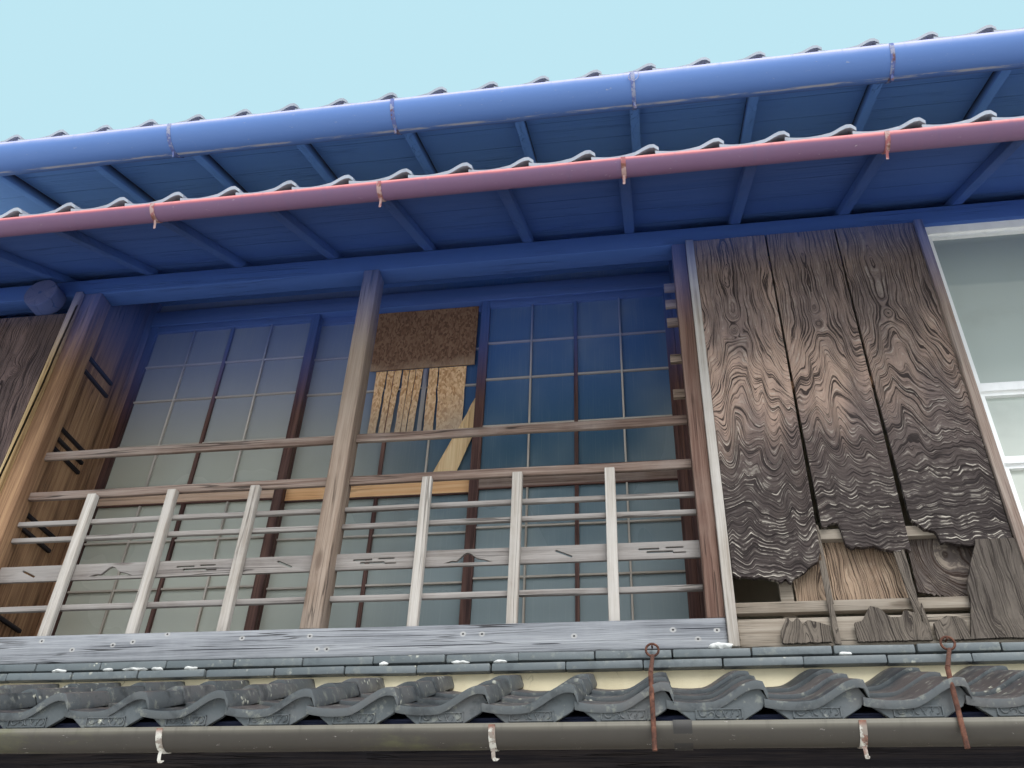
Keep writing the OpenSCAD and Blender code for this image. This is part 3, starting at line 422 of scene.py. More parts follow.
# Each wood's dark, mid, pale and grey colours, then what else is its own
WOODS = {
    # Painted shade: the frame's colours are darkened towards blue-black, for timbers in shade behind and
    # under the gallery
    "frame": ((22, 22, 28), (42, 38, 42), (72, 63, 60), (60, 60, 68), dict(weather=0.35)),
    "eave": (*SHADED_EAVE_COLOURS, dict(weather=0.3)),
    "sill": ((90, 91, 96), (144, 146, 150), (182, 183, 186), (162, 164, 168),
             dict(weather=0.6, checks=0.8, depth=0.004, marks=sill_marks)),
    "low_sill": ((100, 88, 76), (144, 131, 116), (182, 170, 155), (162, 152, 140),
                 dict(weather=0.6, checks=0.8)),
    "bar": ((80, 62, 55), (134, 113, 101), (176, 160, 148), (152, 142, 136), dict(weather=0.45, checks=0.7)),
    "rail": ((102, 93, 88), (140, 132, 126), (174, 167, 161), (154, 149, 146), dict(weather=0.7)),
    "post": ((104, 86, 74), (146, 126, 110), (180, 162, 146), (162, 148, 136), dict(depth=0.004)),
    "red_post": ((80, 56, 48), (120, 92, 80), (152, 126, 112), (132, 116, 106),
                 dict(weather=0.3, depth=0.004)),
    "pale": ((136, 124, 112), (180, 171, 161), (212, 206, 198), (196, 191, 186),
             dict(weather=0.6, checks=0.4)),
    "cream": ((120, 94, 64), (188, 158, 114), (220, 198, 156), (196, 178, 150),
              dict(weather=0.3, checks=0.3)),
    "return": ((88, 62, 44), (140, 106, 80), (186, 148, 112), (138, 116, 98), dict(weather=0.3, checks=0.5)),
    "joinery": ((52, 34, 32), (90, 62, 56), (124, 92, 80), (100, 78, 72),
                dict(weather=0.3, checks=0.3, depth=0.0015, rough=0.6)),
    "muntin": ((140, 130, 118), (176, 166, 154), (206, 198, 188), (182, 176, 168),
               dict(checks=0.2, depth=0.001)),
    "rose": ((150, 118, 98), (188, 156, 132), (208, 180, 158), (190, 166, 148),
             dict(weather=0.3, checks=0.3, depth=0.0015)),
    "orange": ((186, 132, 88), (224, 172, 122), (236, 194, 148), (216, 176, 136),
               dict(weather=0.2, checks=0.3, depth=0.0015)),
    "tan": ((176, 142, 102), (218, 184, 138), (236, 208, 164), (210, 188, 158),
            dict(weather=0.2, checks=0.2, depth=0.0015)),
    "soffit": (*SHADED_SOFFIT_COLOURS, SOFFIT),
    "high_soffit": (*SHADED_SOFFIT_COLOURS, dict(SOFFIT, soot=HIGH_SHADE_HAZE)),
    "high_eave": (*SHADED_EAVE_COLOURS, dict(weather=0.3, soot=HIGH_SHADE_HAZE, soot_faces=ONLY_BELOW)),
    "floor": ((66, 50, 40), (108, 86, 68), (140, 116, 92), (104, 94, 84),
              dict(weather=0.3, checks=0.4, depth=0.002, rough=0.65, planks=(1, 0, 0.16))),
}
WOOD = {}
for kind, (*colours, own) in WOODS.items():
    WOOD[kind] = wood(kind + "_wood", *[tint(*c) for c in colours], **own)
print("wood finishes:", list(WOOD))

# %% [markdown]
# A stick of timber is a box, but a real one has no knife edges and is never quite straight. The solids
# of one node are copied, their triangles are welded and joined back into flat faces, and the sharp edges
# get a small round. A few cuts across the length then let a slow noise push the stick about by a
# millimetre. Every separate stick gets its own grain coordinates and tone, from a seeded draw.

# %% Timber helpers
WELD = 0.00002
FLAT = math.radians(2)
SHARP = math.radians(35)
# How many bends a metre holds
WOBBLES = 2.5
SEED = 1868
rng = random.Random(SEED)
noise.seed_set(SEED)


def faces_of(verts):
    return {face for vert in verts for face in vert.link_faces}


def verts_in(geometry):
    return [one for one in geometry if isinstance(one, bmesh.types.BMVert)]


def block(centre, size, turn=Matrix()):
    """The matrix that makes a box of this size, turned about its middle, out of a unit cube."""
    return Matrix.Translation(centre) @ turn @ Matrix.Diagonal((*size, 1))


def layers(bm):
    """The grain and tone attributes of a mesh, made if they are missing."""
    vectors = bm.verts.layers.float_vector
    numbers = bm.verts.layers.float
    grain = vectors.get("grain") or vectors.new("grain")
    tone = numbers.get("tone") or numbers.new("tone")
    return grain, tone


def islands(bm):
    """Lists of vertices that hang together, in the mesh's order, so that each run draws alike."""
    # The attributes come first, because new ones void old lists
    layers(bm)
    seen = set()
    found = []
    for first in bm.verts:
        if first in seen:
            continue
        seen.add(first)
        group = [first]
        # The list grows while it is read
        for vert in group:
            for edge in vert.link_edges:
                other = edge.other_vert(vert)
                if other not in seen:
                    seen.add(other)
                    group.append(other)
        found.append(group)
    return found


def lay_grain(bm, verts, along=None):
    """Writes grain along the axis that is given, or else along the longest side of their box."""
    grain, tone = layers(bm)
    corners = np.array([v.co for v in verts])
    if along is None:
        along = int(np.argmax(corners.max(0) - corners.min(0)))
    order = [along, (along + 1) % 3, (along + 2) % 3]
    shift = Vector((rng.uniform(0, 9), rng.uniform(0, 9), rng.uniform(0, 9)))
    shade = rng.random()
    for vert in verts:
        vert[grain] = Vector([vert.co[axis] for axis in order]) + shift
        vert[tone] = shade


def sharp_edges(bm, angle=SHARP):
    return [e for e in bm.edges if len(e.link_faces) == 2 and e.calc_face_angle() > angle]


def round_edges(bm, radius, segments=2, edges=None):
    bmesh.ops.bevel(bm, geom=edges or sharp_edges(bm), offset=radius, offset_type="OFFSET", affect="EDGES",
                    segments=segments, profile=0.5, material=-1, clamp_overlap=True)


def cut_across(bm, axis, step):
    """Cuts every face with planes across one axis."""
    places = [v.co[axis] for v in bm.verts]
    normal = Vector([1.0 if i == axis else 0.0 for i in range(3)])
    at = min(places) + step
    while at < max(places) - step / 2:
        geometry = bm.verts[:] + bm.edges[:] + bm.faces[:]
        bmesh.ops.bisect_plane(bm, geom=geometry, dist=WELD, plane_co=normal * at, plane_no=normal)
        at += step


def wobble(bm, amount):
    for vert in bm.verts:
        vert.co += noise.noise_vector(vert.co * WOBBLES) * amount


def solids_of(node):
    """A welded copy of a node's mesh in the street frame, with flat faces instead of triangles."""
    bm = bmesh.new()
    bm.from_mesh(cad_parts[node].data)
    bmesh.ops.translate(bm, verts=bm.verts, vec=-STREET)
    bmesh.ops.remove_doubles(bm, verts=bm.verts, dist=WELD)
    bmesh.ops.dissolve_limit(bm, angle_limit=FLAT, verts=bm.verts, edges=bm.edges, delimit={"NORMAL"})
    return bm


def finish_piece(name, bm, material, replaces=(), smooth=SHARP):
    """Shifts a mesh out of the street frame and makes it a piece of the house. material may be a list."""
    bmesh.ops.translate(bm, verts=bm.verts, vec=STREET)
    mesh = bpy.data.meshes.new(name)
    bm.to_mesh(mesh)
    bm.free()
    for one in material if isinstance(material, list) else [material]:
        mesh.materials.append(one)
    mesh.shade_smooth()
    mesh.set_sharp_from_angle(angle=smooth)
    piece = bpy.data.objects.new(name, mesh)
    bpy.context.scene.collection.objects.link(piece)
    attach(piece, "root")
    if replaces:
        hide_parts(*replaces)
    print(name, len(mesh.polygons), "faces")


def weathered_copy(node, material, radius=0.003, step=0.0, shake=0.001, along=None, pick=None):
    """pick gives the number of a stick's finish from its middle, where material is a list."""
    bm = solids_of(node)
    round_edges(bm, radius)
    if step:
        low, high = street_box(node)
        cut_across(bm, int(np.argmax(high - low)) if along is None else along, step)
    for group in islands(bm):
        lay_grain(bm, group, along)
        if pick:
            chosen = pick(sum((v.co for v in group), Vector()) / len(group))
            for face in faces_of(group):
                face.material_index = chosen
    wobble(bm, shake)
    finish_piece(node + "_worn", bm, material, [node])


def stick(bm, low, high, finish=0):
    """A squared stick between two corners."""
    low, high = Vector(low), Vector(high)
    made = bmesh.ops.create_cube(bm, size=1, matrix=block((low + high) / 2, high - low))["verts"]
    for face in faces_of(made):
        face.material_index = finish


def finish_sticks(name, bm, material, replaces=(), radius=0.002, shake=0.0005, along=None):
    """Rounds the edges of a mesh of sticks, gives each its grain and makes them one piece."""
    round_edges(bm, radius)
    for group in islands(bm):
        lay_grain(bm, group, along)
    wobble(bm, shake)
    finish_piece(name, bm, material, replaces)


# %% [markdown]
# The frame of the house: posts, beams, rafters and boards that stand behind or under the parts that
# show best. They differ only in their wood, in how round their edges have worn and in the way they run.

# %% Frame timbers
ALONG_X, ALONG_Y, ALONG_Z = 0, 1, 2
# Wood, node, how far its edges are rounded, and which way it runs where that isn't its longest side
FRAME_TIMBERS = [
    ("frame", "ground_sills", 0.006, ALONG_X), ("frame", "ground_posts", 0.004, ALONG_Z),
    ("frame", "ground_rails", 0.003, ALONG_X), ("frame", "ground_beams", 0.005, ALONG_X),
    ("frame", "floor_beams", 0.004, ALONG_Y), ("frame", "rim_beams", 0.004, ALONG_X),
    ("frame", "wall_plates", 0.002, ALONG_X), ("frame", "ground_lattice", 0.001, ALONG_Z),
    ("eave", "eave_beam", 0.004, ALONG_X), ("eave", "roof_purlins", 0.004, ALONG_X),
    ("eave", "low_rafters", 0.002, None), ("eave", "pent_rafters", 0.002, None),
    ("high_eave", "main_rafters", 0.002, None),
]
for kind, node, radius, along in FRAME_TIMBERS:
    weathered_copy(node, WOOD[kind], radius, shake=0.0006, along=along)

# %% [markdown]
# The gallery's own timbers stand in the weather. The sill beam has gone blue-grey, its pegs wear a
# bleached ring and long cracks run between them. The two top rails are brown and the thin ones below them
# grey, the street posts are tan, and the balusters and the trims at the corners are nearly white.

# %% Gallery timbers
BAR_ABOVE = 3.60
SILL_END = 1.4775
LOW_BATTENS = 3.16
POST_X = 1


def post_finish(at):
    """The middle post is tan, the right one red and the left one like the boards of its return."""
    if at.x > POST_X:
        return 1
    return 2 if at.x < -POST_X else 0


weathered_copy("sill_beam", [WOOD["sill"], WOOD["low_sill"]], 0.006, step=0.2, shake=0.002,
               along=ALONG_X, pick=lambda at: int(at.x > SILL_END))
weathered_copy("bay_posts", [WOOD["post"], WOOD["red_post"], WOOD["return"]], 0.004, step=0.2,
               shake=0.002, along=ALONG_Z, pick=post_finish)
weathered_copy("railing_rails", [WOOD["rail"], WOOD["bar"]], 0.003, step=0.12, shake=0.003,
               along=ALONG_X, pick=lambda at: int(at.z > BAR_ABOVE))
weathered_copy("openwork_board", WOOD["rail"], 0.001, along=ALONG_X)
weathered_copy("corner_trims", [WOOD["cream"], WOOD["pale"]], step=0.2, shake=0.002,
               along=ALONG_Z, pick=lambda at: int(at.x > 0))
weathered_copy("railing_balusters", WOOD["pale"], step=0.05, shake=0.002, along=ALONG_Z)
weathered_copy("gallery_side_boards", WOOD["return"], 0.002, along=ALONG_Z)
weathered_copy("inner_posts", [WOOD["return"], WOOD["joinery"]], along=ALONG_Z,
               pick=lambda at: int(at.x > 0 or at.y > 1))
weathered_copy("return_battens", [WOOD["frame"], WOOD["post"]], 0.001, shake=0.0006,
               pick=lambda at: int(at.x > 0))
weathered_copy("door_tracks", WOOD["joinery"], 0.002, along=ALONG_X)
weathered_copy("shutter_battens", [WOOD["return"], WOOD["low_sill"]], 0.002,
               pick=lambda at: int(at.z < LOW_BATTENS))

# %% [markdown]
# Along the left corner runs a thin white strip, once painted, that has sprung away from the post in a
# long bow. A ribbon is a flat grid laid through a few points, with its thickness added at the end.

# %% The sprung strip
STRIP_Y = -0.0705
STRIP_POINTS = [
    (-1.519, 4.692), (-1.524, 4.445), (-1.525, 4.190), (-1.533, 3.947), (-1.540, 3.750), (-1.546, 3.576),
]


def ribbon(bm, points, side, thickness):
    """A flat strip through a row of points, side being the vector across it."""
    count = len(points) - 1
    made = bmesh.ops.create_grid(bm, x_segments=1, y_segments=count, size=0.5)["verts"]
    for vert in made:
        across, step = vert.co.x, round((vert.co.y + 0.5) * count)
        vert.co = Vector(points[step]) + Vector(side) * across
    bmesh.ops.solidify(bm, geom=list(faces_of(made)), thickness=thickness)


def make_strip():
    bm = bmesh.new()
    ribbon(bm, [(x, STRIP_Y, z) for x, z in STRIP_POINTS], (0.009, 0, 0), 0.003)
    bmesh.ops.recalc_face_normals(bm, faces=bm.faces)
    for group in islands(bm):
        lay_grain(bm, group, ALONG_Z)
    finish_piece("sprung_strip", bm, WOOD["pale"])


make_strip()

# %% [markdown]
# The shutter boxes are faced with wide cedar boards cut flat across the tree, so their rings show as
# flames: upright lines at the top, eyes round the knots, and close wavy ridges across the foot. A growth
# ring is a line along which one number stays the same, so the figure is one smooth field over the board.
# It is worked out at each vertex and kept in the attribute named rings; the finish draws its lines from
# the field's sine, and the vertices stand out along the same lines, as weather leaves the hard wood.

# %% The figure of a board
RINGS_UP = 44.0
RINGS_ACROSS = 32.0
TOP_OF_FLAMES = 0.8
EYE_RINGS = 44.0


def smooth(value, start, end):
    share = min(max((value - start) / (end - start), 0.0), 1.0)
    return share * share * (3 - 2 * share)


def rings_at(x, z, board):
    """Growth rings counted from the foot of a board, at one place on its face."""
    up = (z - board["low"]) / (board["high"] - board["low"])
    share = (x - board["x"]) / board["width"]
    seed = board["seed"]
    count = RINGS_UP * (1 - (1 - min(up / TOP_OF_FLAMES, 1)) ** 2)
    # Lines lean towards the tip of the flames, or run straight where a board has none
    side = math.hypot(share - board["tip"], 0.05) if "tip" in board else share - 0.5
    count += RINGS_ACROSS * smooth(up, 0.12, 0.70) * side * board["lean"]
    middle = math.exp(-((up - 0.40) / 0.24) ** 2)
    drift = noise.noise(Vector((x * 6, z * 1.5, seed)))
    flame = abs(noise.noise(Vector((x * 13, z * 2.2, seed + 4))))
    swirl = noise.noise(Vector((x * 17, z * 8, seed + 12)))
    ripple = noise.noise(Vector((x * 42, z * 17, seed + 8)))
    count += drift * (1.2 + 2.0 * middle) + flame * (1.6 + 5.4 * middle)
    count += swirl * (1.0 + 0.9 * middle) + ripple * (0.55 - 0.25 * up)
    # Inside an eye the rings close round it
    for eye_x, eye_z, radius, turns in board.get("eyes", []):
        far = math.hypot((x - eye_x) / radius, (z - eye_z) / (radius * 1.3))
        count += (EYE_RINGS + turns * far - count) * math.exp(-far * far)
    for swirl_x, swirl_z, depth in board.get("swirls", []):
        far = ((x - swirl_x) / 0.045) ** 2 + ((z - swirl_z) / 0.20) ** 2
        count -= depth * math.exp(-far)
    return count


# %% [markdown]
# A broken board is a square grid of small faces, stretched between a left edge, a right edge, a torn
# foot and a straight head. Its rim is then pushed back by the board's thickness and the back is closed.

# %% Board shapes
BOARD_STEP = 0.0055
BOARD_SMOOTH = math.radians(60)
BOARD_RELIEF = 0.0016


def outline(points):
    """A function that runs straight between points given as pairs."""
    places = [p[0] for p in points]
    values = [p[1] for p in points]
    return lambda at: float(np.interp(at, places, values))


def board_patch(bm, left, right, foot, head, face_y, thickness, board, step=BOARD_STEP):
    """left and right give X at a height, foot and head give Z at a share of the width."""
    rings = bm.verts.layers.float.get("rings") or bm.verts.layers.float.new("rings")
    tone = bm.verts.layers.float.get("tone") or bm.verts.layers.float.new("tone")
    middle = (foot(0.5) + head(0.5)) / 2
    columns = max(int((right(middle) - left(middle)) / step), 2)
    rows = max(int((head(0.5) - foot(0.5)) / step), 2)
    made = bmesh.ops.create_grid(bm, x_segments=columns, y_segments=rows, size=0.5)["verts"]
    faces = faces_of(made)
    for vert in made:
        share = vert.co.x + 0.5
        z = foot(share) + (vert.co.y + 0.5) * (head(share) - foot(share))
        x = left(z) + share * (right(z) - left(z))
        count = rings_at(x, z, board)
        ridge = 0.5 + 0.5 * math.sin(math.tau * count)
        vert[rings] = count
        vert[tone] = board["tone"]
        bow = 0.002 * noise.noise(Vector((x * 4, z * 3, board["seed"])))
        vert.co = Vector((x, face_y - BOARD_RELIEF * ridge + bow, z))
    rim = [e for e in {e for f in faces for e in f.edges} if e.is_boundary]
    pushed = bmesh.ops.extrude_edge_only(bm, edges=rim)["geom"]
    for vert in verts_in(pushed):
        vert.co.y = face_y + thickness
    back = [g for g in pushed if isinstance(g, bmesh.types.BMEdge) and g.is_boundary]
    bmesh.ops.holes_fill(bm, edges=back, sides=0)


def upright(x):
    return lambda z: x


def level(z):
    return lambda share: z


# %% [markdown]
# The finish of these boards reads the rings. Noise over the ring number, slow along the ring and quick
# across it, gives dark lines of uneven strength, as real seasons do. A few whole rings show a thin pale
# crest, partly bleached and partly a painted highlight, most of all near the foot where rain splashes, with
# a painted shadow in the hollows between rings, and the middle is a bare pinkish tan.

# %% Board finish
def board_wood(name, dark, brown, bare, crest, foot_z=3.1, head_z=4.75):
    finish = Finish(name)
    place = finish.place()
    rings = finish.read("rings")
    tone = finish.read("tone")
    height = finish.fade(place.part(2), foot_z, head_z)
    broken = finish.cloud(place, 30, detail=4, rough=0.6)
    shift = rings + (broken - 0.5) * 0.5
    flow = finish.node("ShaderNodeCombineXYZ", {}, [shift, place.part(0) * 2.2, place.part(2) * 1.8])
    season = finish.cloud(flow, 2.2, detail=4, rough=0.62)
    strong = finish.cloud(flow.stretch(0.55, 0.8, 0.8), 1, detail=2)
    line = shift.wave() * 0.5 + 0.5
    fibre = finish.cloud(place.stretch(170, 170, 8), 1, detail=3, rough=0.6)
    patch = finish.cloud(place.stretch(4.5, 4.5, 1.6), 1, detail=4, rough=0.55)
    bareness = finish.fade(patch + (0.5 - (height - 0.60).size()) * 0.6, 0.54, 0.86)
    base = finish.mix(bareness, brown, bare)
    base = finish.mix(fibre * 0.4, base, dark)
    base = finish.mix(tone * 0.6, base, tint(84, 77, 75))
    base = finish.mix(finish.fade(height, 0.46, 0.05) * 0.85, base, tint(58, 52, 51))
    furrow = finish.fade(season, 0.50, 0.40)
    colour = finish.mix(furrow * 0.9, base, dark)
    pale_line = finish.fade(season, 0.53, 0.66) * finish.fade(broken, 0.42, 0.60)
    colour = finish.mix(pale_line * (0.45 - height * 0.2), colour, crest)
    # Painted highlight, partly bleaching: a pale crest on the strongest rings
    ridge = finish.fade(line, 0.84, 1.0) * finish.fade(strong, 0.50, 0.62) * finish.fade(broken, 0.44, 0.58)
    colour = finish.mix(ridge * (0.85 - height * 0.9), colour, crest)
    # Painted shadow in the hollows between the rings
    shadow = finish.fade(line, 0.20, 0.0) * finish.fade(strong, 0.45, 0.58)
    colour = finish.mix(shadow * (0.7 - height * 0.4), colour, dark)
    relief = line * 0.6 + season * 1.6 + fibre * 0.3
    # Painted shade and haze: the heads of the boards, under the eave, are mixed towards blue-black
    colour = finish.mix(finish.fade(place.part(2), SHADE_HAZE_FROM + 0.3, SHADE_HAZE_TO) * 0.6, colour, SHADE_HAZE)
    return finish.apply(colour=colour, rough=0.85, normal=finish.bump(relief, 0.0035), gloss=0.2)


BOARD_WOOD = board_wood("board_wood", tint(42, 35, 34), tint(140, 121, 114), tint(210, 178, 158),
                        tint(208, 198, 184))
LEFT_BOARD_WOOD = board_wood("left_board_wood", tint(40, 31, 32), tint(98, 81, 79), tint(138, 114, 108),
                             tint(136, 112, 100))
print("board finishes ready")

# %% [markdown]
# The right-hand box has three boards. Their feet have rotted away in jagged bites, thin slivers of the
# same wood still hang down to the sill, stubs are left where the nails held, and the last board keeps a
# large loose piece whose grain runs aslant. The gaps between the boards open towards the foot.

# %% Right-hand shutter boards
TEAR_LINE = 2.892
BOARD_FOOT = street_box("sill_beam")[0].z + 0.002
BOARD_HEAD = 4.785
BOARD_FACE = -0.060
BOARD_THICKNESS = 0.018
RIGHT_BOARDS = [
    dict(x=1.5295, width=0.321, low=3.09, high=BOARD_HEAD, seed=3.0, tone=0.05, lean=1.0, tip=0.40,
         eyes=[(1.655, 4.235, 0.038, 7.5)], swirls=[(1.628, 3.80, 2.6), (1.76, 3.70, 1.2)]),
    dict(x=1.8545, width=0.300, low=3.18, high=BOARD_HEAD, seed=11.0, tone=0.30, lean=1.0, tip=0.48,
         eyes=[(2.001, 4.239, 0.036, 7.0)], swirls=[(1.915, 3.67, 2.4), (2.03, 3.90, 1.8)]),
    dict(x=2.1585, width=0.336, low=3.18, high=BOARD_HEAD, seed=23.0, tone=0.65, lean=1.0, tip=0.36,
         eyes=[(2.286, 4.270, 0.040, 6.5)], swirls=[(2.236, 3.82, 2.6), (2.40, 3.55, 1.0)]),
]
# Bites out of the feet: share of the width, height above the tear line
TORN_FEET = [
    [(0, .223), (.06, .214), (.12, .218), (.23, .208), (.31, .212), (.40, .204), (.47, .198), (.52, .187),
     (.57, .205), (.60, .190), (.63, .184), (.67, .205), (.74, .214), (.81, .229), (.86, .246), (.90, .254),
     (.95, .262), (1, .300)],
    [(0, .400), (.05, .396), (.10, .409), (.15, .414), (.21, .408), (.225, .375), (.235, .327), (.31, .308),
     (.36, .316), (.45, .311), (.56, .318), (.64, .306), (.72, .300), (.77, .294), (.86, .290), (.93, .302),
     (1, .290)],
    [(0, .420), (.03, .402), (.06, .395), (.12, .373), (.18, .369), (.235, .362), (.245, .317), (.31, .322),
     (.38, .314), (.46, .309), (.54, .303), (.62, .306), (1, .302)],
]
# How far the left edge of each board has drawn back at its foot
GAP_AT_FOOT = [0.003, 0.010, 0.013]
# The upright that covers the right-hand edge of the last board: X, Y and Z
COVER_LOW, COVER_HIGH = (2.4935, -0.076, 2.97), (2.5305, -0.043, 4.788)


def make_right_boards():
    bm = bmesh.new()
    for board, bites, gap in zip(RIGHT_BOARDS, TORN_FEET, GAP_AT_FOOT):
        start = board["x"]
        left = outline([(board["low"], start + gap), (3.8, start + gap * 0.35), (BOARD_HEAD, start)])
        end = start + board["width"] - 0.003
        right = outline([(board["low"], end - 0.006), (3.6, end - 0.002), (BOARD_HEAD, end)])
        torn = outline(bites)
        grit = board["seed"]
        foot = lambda share: TEAR_LINE + torn(share) + 0.004 * noise.noise(Vector((share * 45, grit, 0)))
        board_patch(bm, left, right, foot, level(BOARD_HEAD), BOARD_FACE, BOARD_THICKNESS, board)
    finish_piece("right_boards", bm, BOARD_WOOD, ["shutter_boards_right"],
                 smooth=BOARD_SMOOTH)


def make_cover_strip():
    bm = bmesh.new()
    stick(bm, COVER_LOW, COVER_HIGH)
    cut_across(bm, ALONG_Z, 0.06)
    finish_sticks("cover_strip", bm, WOOD["bar"], radius=0.003, shake=0.002,
                  along=ALONG_Z)


make_right_boards()
make_cover_strip()

# %% Loose pieces of the right-hand boards
# The boards that these were split from, which their figure is drawn over
ASLANT = dict(x=2.1585, width=0.372, low=1.6, high=3.6, seed=31.0, tone=0.7, lean=1.1)
UPRIGHT = dict(x=1.8, width=0.4, low=1.0, high=4.8, seed=37.0, tone=0.5, lean=1.5)
# Where the face of each kind of piece stands, and how thick it is
FALLEN, SLIVER, STUB = (-0.066, 0.014), (-0.058, 0.008), (-0.064, 0.012)
# The left edge of the loose piece: Z, then X
FALLEN_EDGE = [(2.860, 2.262), (2.981, 2.292), (3.048, 2.296), (3.126, 2.326), (3.20, 2.360), (3.30, 2.372)]


def make_loose_pieces():
    bm = bmesh.new()
    foot = outline([(0, BOARD_FOOT + 0.003), (0.5, BOARD_FOOT + 0.006), (1, BOARD_FOOT)])
    board_patch(bm, outline(FALLEN_EDGE), upright(2.491), foot, level(3.215), *FALLEN, ASLANT, step=0.008)
    # Slivers: left and right at the head, left and right at the foot, foot, head
    slivers = [
        (1.832, 1.848, 1.838, 1.858, BOARD_FOOT, 3.160),
        (2.086, 2.124, 2.112, 2.132, 2.932, 3.200),
        (1.844, 1.852, 1.842, 1.856, 3.000, 3.300),
    ]
    for top_left, top_right, low_left, low_right, low, high in slivers:
        left = outline([(low, low_left), (high, top_left)])
        right = outline([(low, low_right), (high, top_right)])
        board_patch(bm, left, right, level(low), level(high), *SLIVER, UPRIGHT, step=0.008)
    # Stubs: left, right, and teeth as share of the width and height above the tear line
    stubs = [
        (1.668, 1.828, [(0, .014), (.16, .062), (.25, .039), (.38, .060), (.46, .034), (.58, .048),
                        (.8, .038), (1, .026)]),
        (1.910, 2.128, [(0, .034), (.12, .040), (.27, .092), (.40, .084), (.54, .050), (.70, .050),
                        (.76, .074), (.93, .062), (1, .024)]),
        (2.160, 2.262, [(0, .026), (.45, .050), (.8, .044), (1, .028)]),
        (2.128, 2.146, [(0, .054), (.5, .099), (1, .024)]),
    ]
    for start, end, teeth in stubs:
        torn = outline([(share, TEAR_LINE + up) for share, up in teeth])
        foot = lambda share: BOARD_FOOT + 0.004 + 0.004 * noise.noise(Vector((share * 30, start, 0)))
        board_patch(bm, upright(start), upright(end), foot, torn, *STUB, UPRIGHT, step=0.006)
    finish_piece("loose_pieces", bm, STUB_WOOD, smooth=BOARD_SMOOTH)


STUB_WOOD = board_wood("stub_wood", tint(54, 47, 43), tint(106, 96, 86), tint(140, 128, 114),
                       tint(150, 138, 124), foot_z=1.4, head_z=3.8)
make_loose_pieces()

# %% [markdown]
# Behind the torn feet the lining of the box shows: thin upright boards, browner because they were
# sheltered, split and splintered at their feet. The one on the right was cut near the heart of the tree
# and shows round rings. Plain old rails run behind them, just above the sill.

# %% Lining boards
LINING_FACE = -0.010
LINING_THICKNESS = 0.008
LINING_HEAD = 3.290


def make_lining():
    bm = bmesh.new()
    upright_grain = dict(x=1.74, width=0.39, low=1.2, high=4.4, seed=41.0, tone=0.0, lean=1.8)
    heart = dict(x=2.16, width=0.21, low=2.0, high=4.4, seed=43.0, tone=1.5, lean=0.6,
                 eyes=[(2.27, 3.19, 0.085, 7.0)])
    splinters = outline([(0, .135), (.06, .128), (.13, .140), (.2, .126), (.33, .138), (.45, .124),
                         (.58, .136), (.7, .128), (.85, .139), (1, .126)])
    foot = lambda share: TEAR_LINE + splinters(share) + 0.008 * noise.noise(Vector((share * 60, 2, 0)))
    head = level(LINING_HEAD)
    for left, right, face_y in [(1.742, 1.868, LINING_FACE), (1.871, 2.132, LINING_FACE + 0.002)]:
        board_patch(bm, upright(left), upright(right), foot, head, face_y, LINING_THICKNESS, upright_grain,
                    step=0.006)
    torn = lambda share: TEAR_LINE + 0.16 - 0.05 * share + 0.012 * noise.noise(Vector((share * 25, 7, 0)))
    board_patch(bm, upright(2.150), upright(2.372), torn, head, LINING_FACE, 0.009, heart, step=0.006)
    finish_piece("lining_boards", bm, LINING_WOOD, smooth=BOARD_SMOOTH)


LINING_WOOD = board_wood("lining_wood", tint(58, 44, 37), tint(136, 108, 88), tint(182, 156, 132),
                         tint(214, 196, 174), foot_z=1.8, head_z=4.0)
make_lining()

# %% [markdown]
# The left-hand box is sheltered by its neighbour. Its boards are redder, whole, and plain in figure.

# %% Left-hand shutter boards
def make_left_boards():
    low, high = street_box("shutter_boards_left")
    count = 3
    width = (high.x - low.x) / count
    bm = bmesh.new()
    for i in range(count):
        x = low.x + i * width
        board = dict(x=x, width=width, low=1.4, high=5.4, seed=51.0 + 7 * i, tone=0.15 * i, lean=1.3, tip=0.4,
                     eyes=[(x + width * 0.55, 3.5 + 0.4 * i, 0.03, 2.5)])
        board_patch(bm, upright(x + 0.001), upright(x + width - 0.003), level(low.z), level(high.z),
                    BOARD_FACE, BOARD_THICKNESS, board, step=0.012)
    finish_piece("left_boards", bm, LEFT_BOARD_WOOD, ["shutter_boards_left"],
                 smooth=BOARD_SMOOTH)


make_left_boards()

# %% [markdown]
# Over the left-hand boards the end of a log shows, which carries the eave. It is a short drum, its rim
# worn out of round, and its face shows the rings of the whole tree round one dark heart, with cracks that
# run out from it like spokes. So its finish counts how far a place lies from the log's own middle.

# %% Log end
LOG_RINGS = 11
LOG_SPOKES = 3
LOG_TURN = Matrix.Rotation(math.radians(90), 4, "X")


def log_wood(name, centre, radius):
    finish = Finish(name)
    away = finish.place().shift(-(centre + STREET)).stretch(1 / radius, 0, 1 / radius)
    far = away.length()
    warp = finish.cloud(finish.place(), 14, detail=3)
    ring = (far * LOG_RINGS + warp * 2.2).wave() * 0.5 + 0.5
    turn = away.part(0).math("ARCTAN2", away.part(2), away.part(0))
    spokes = (turn * (LOG_SPOKES / math.tau) + warp * 0.5).wave().size()
    spoke = finish.fade(spokes, 0.10, 0.02) * finish.fade(far, 0.10, 0.55)
    colour = finish.mix(ring * 0.6, tint(104, 88, 82), tint(70, 58, 58))
    colour = finish.mix(finish.fade(warp, 0.5, 0.75) * 0.5, colour, tint(132, 118, 108))
    colour = finish.mix(finish.fade(far, 0.16, 0.05), colour, tint(36, 28, 28))
    colour = finish.mix(finish.fade(far, 0.86, 1.0) * 0.6, colour, tint(52, 42, 42))
    colour = finish.mix(spoke * 0.8, colour, tint(30, 24, 24))
    # Painted shade and haze: the whole face is mixed towards the eaves' blue-black
    colour = finish.mix(0.45, colour, SHADE_HAZE)
    return finish.apply(colour=colour, rough=0.85, normal=finish.bump(ring * 0.5 - spoke, 0.002), gloss=0.2)


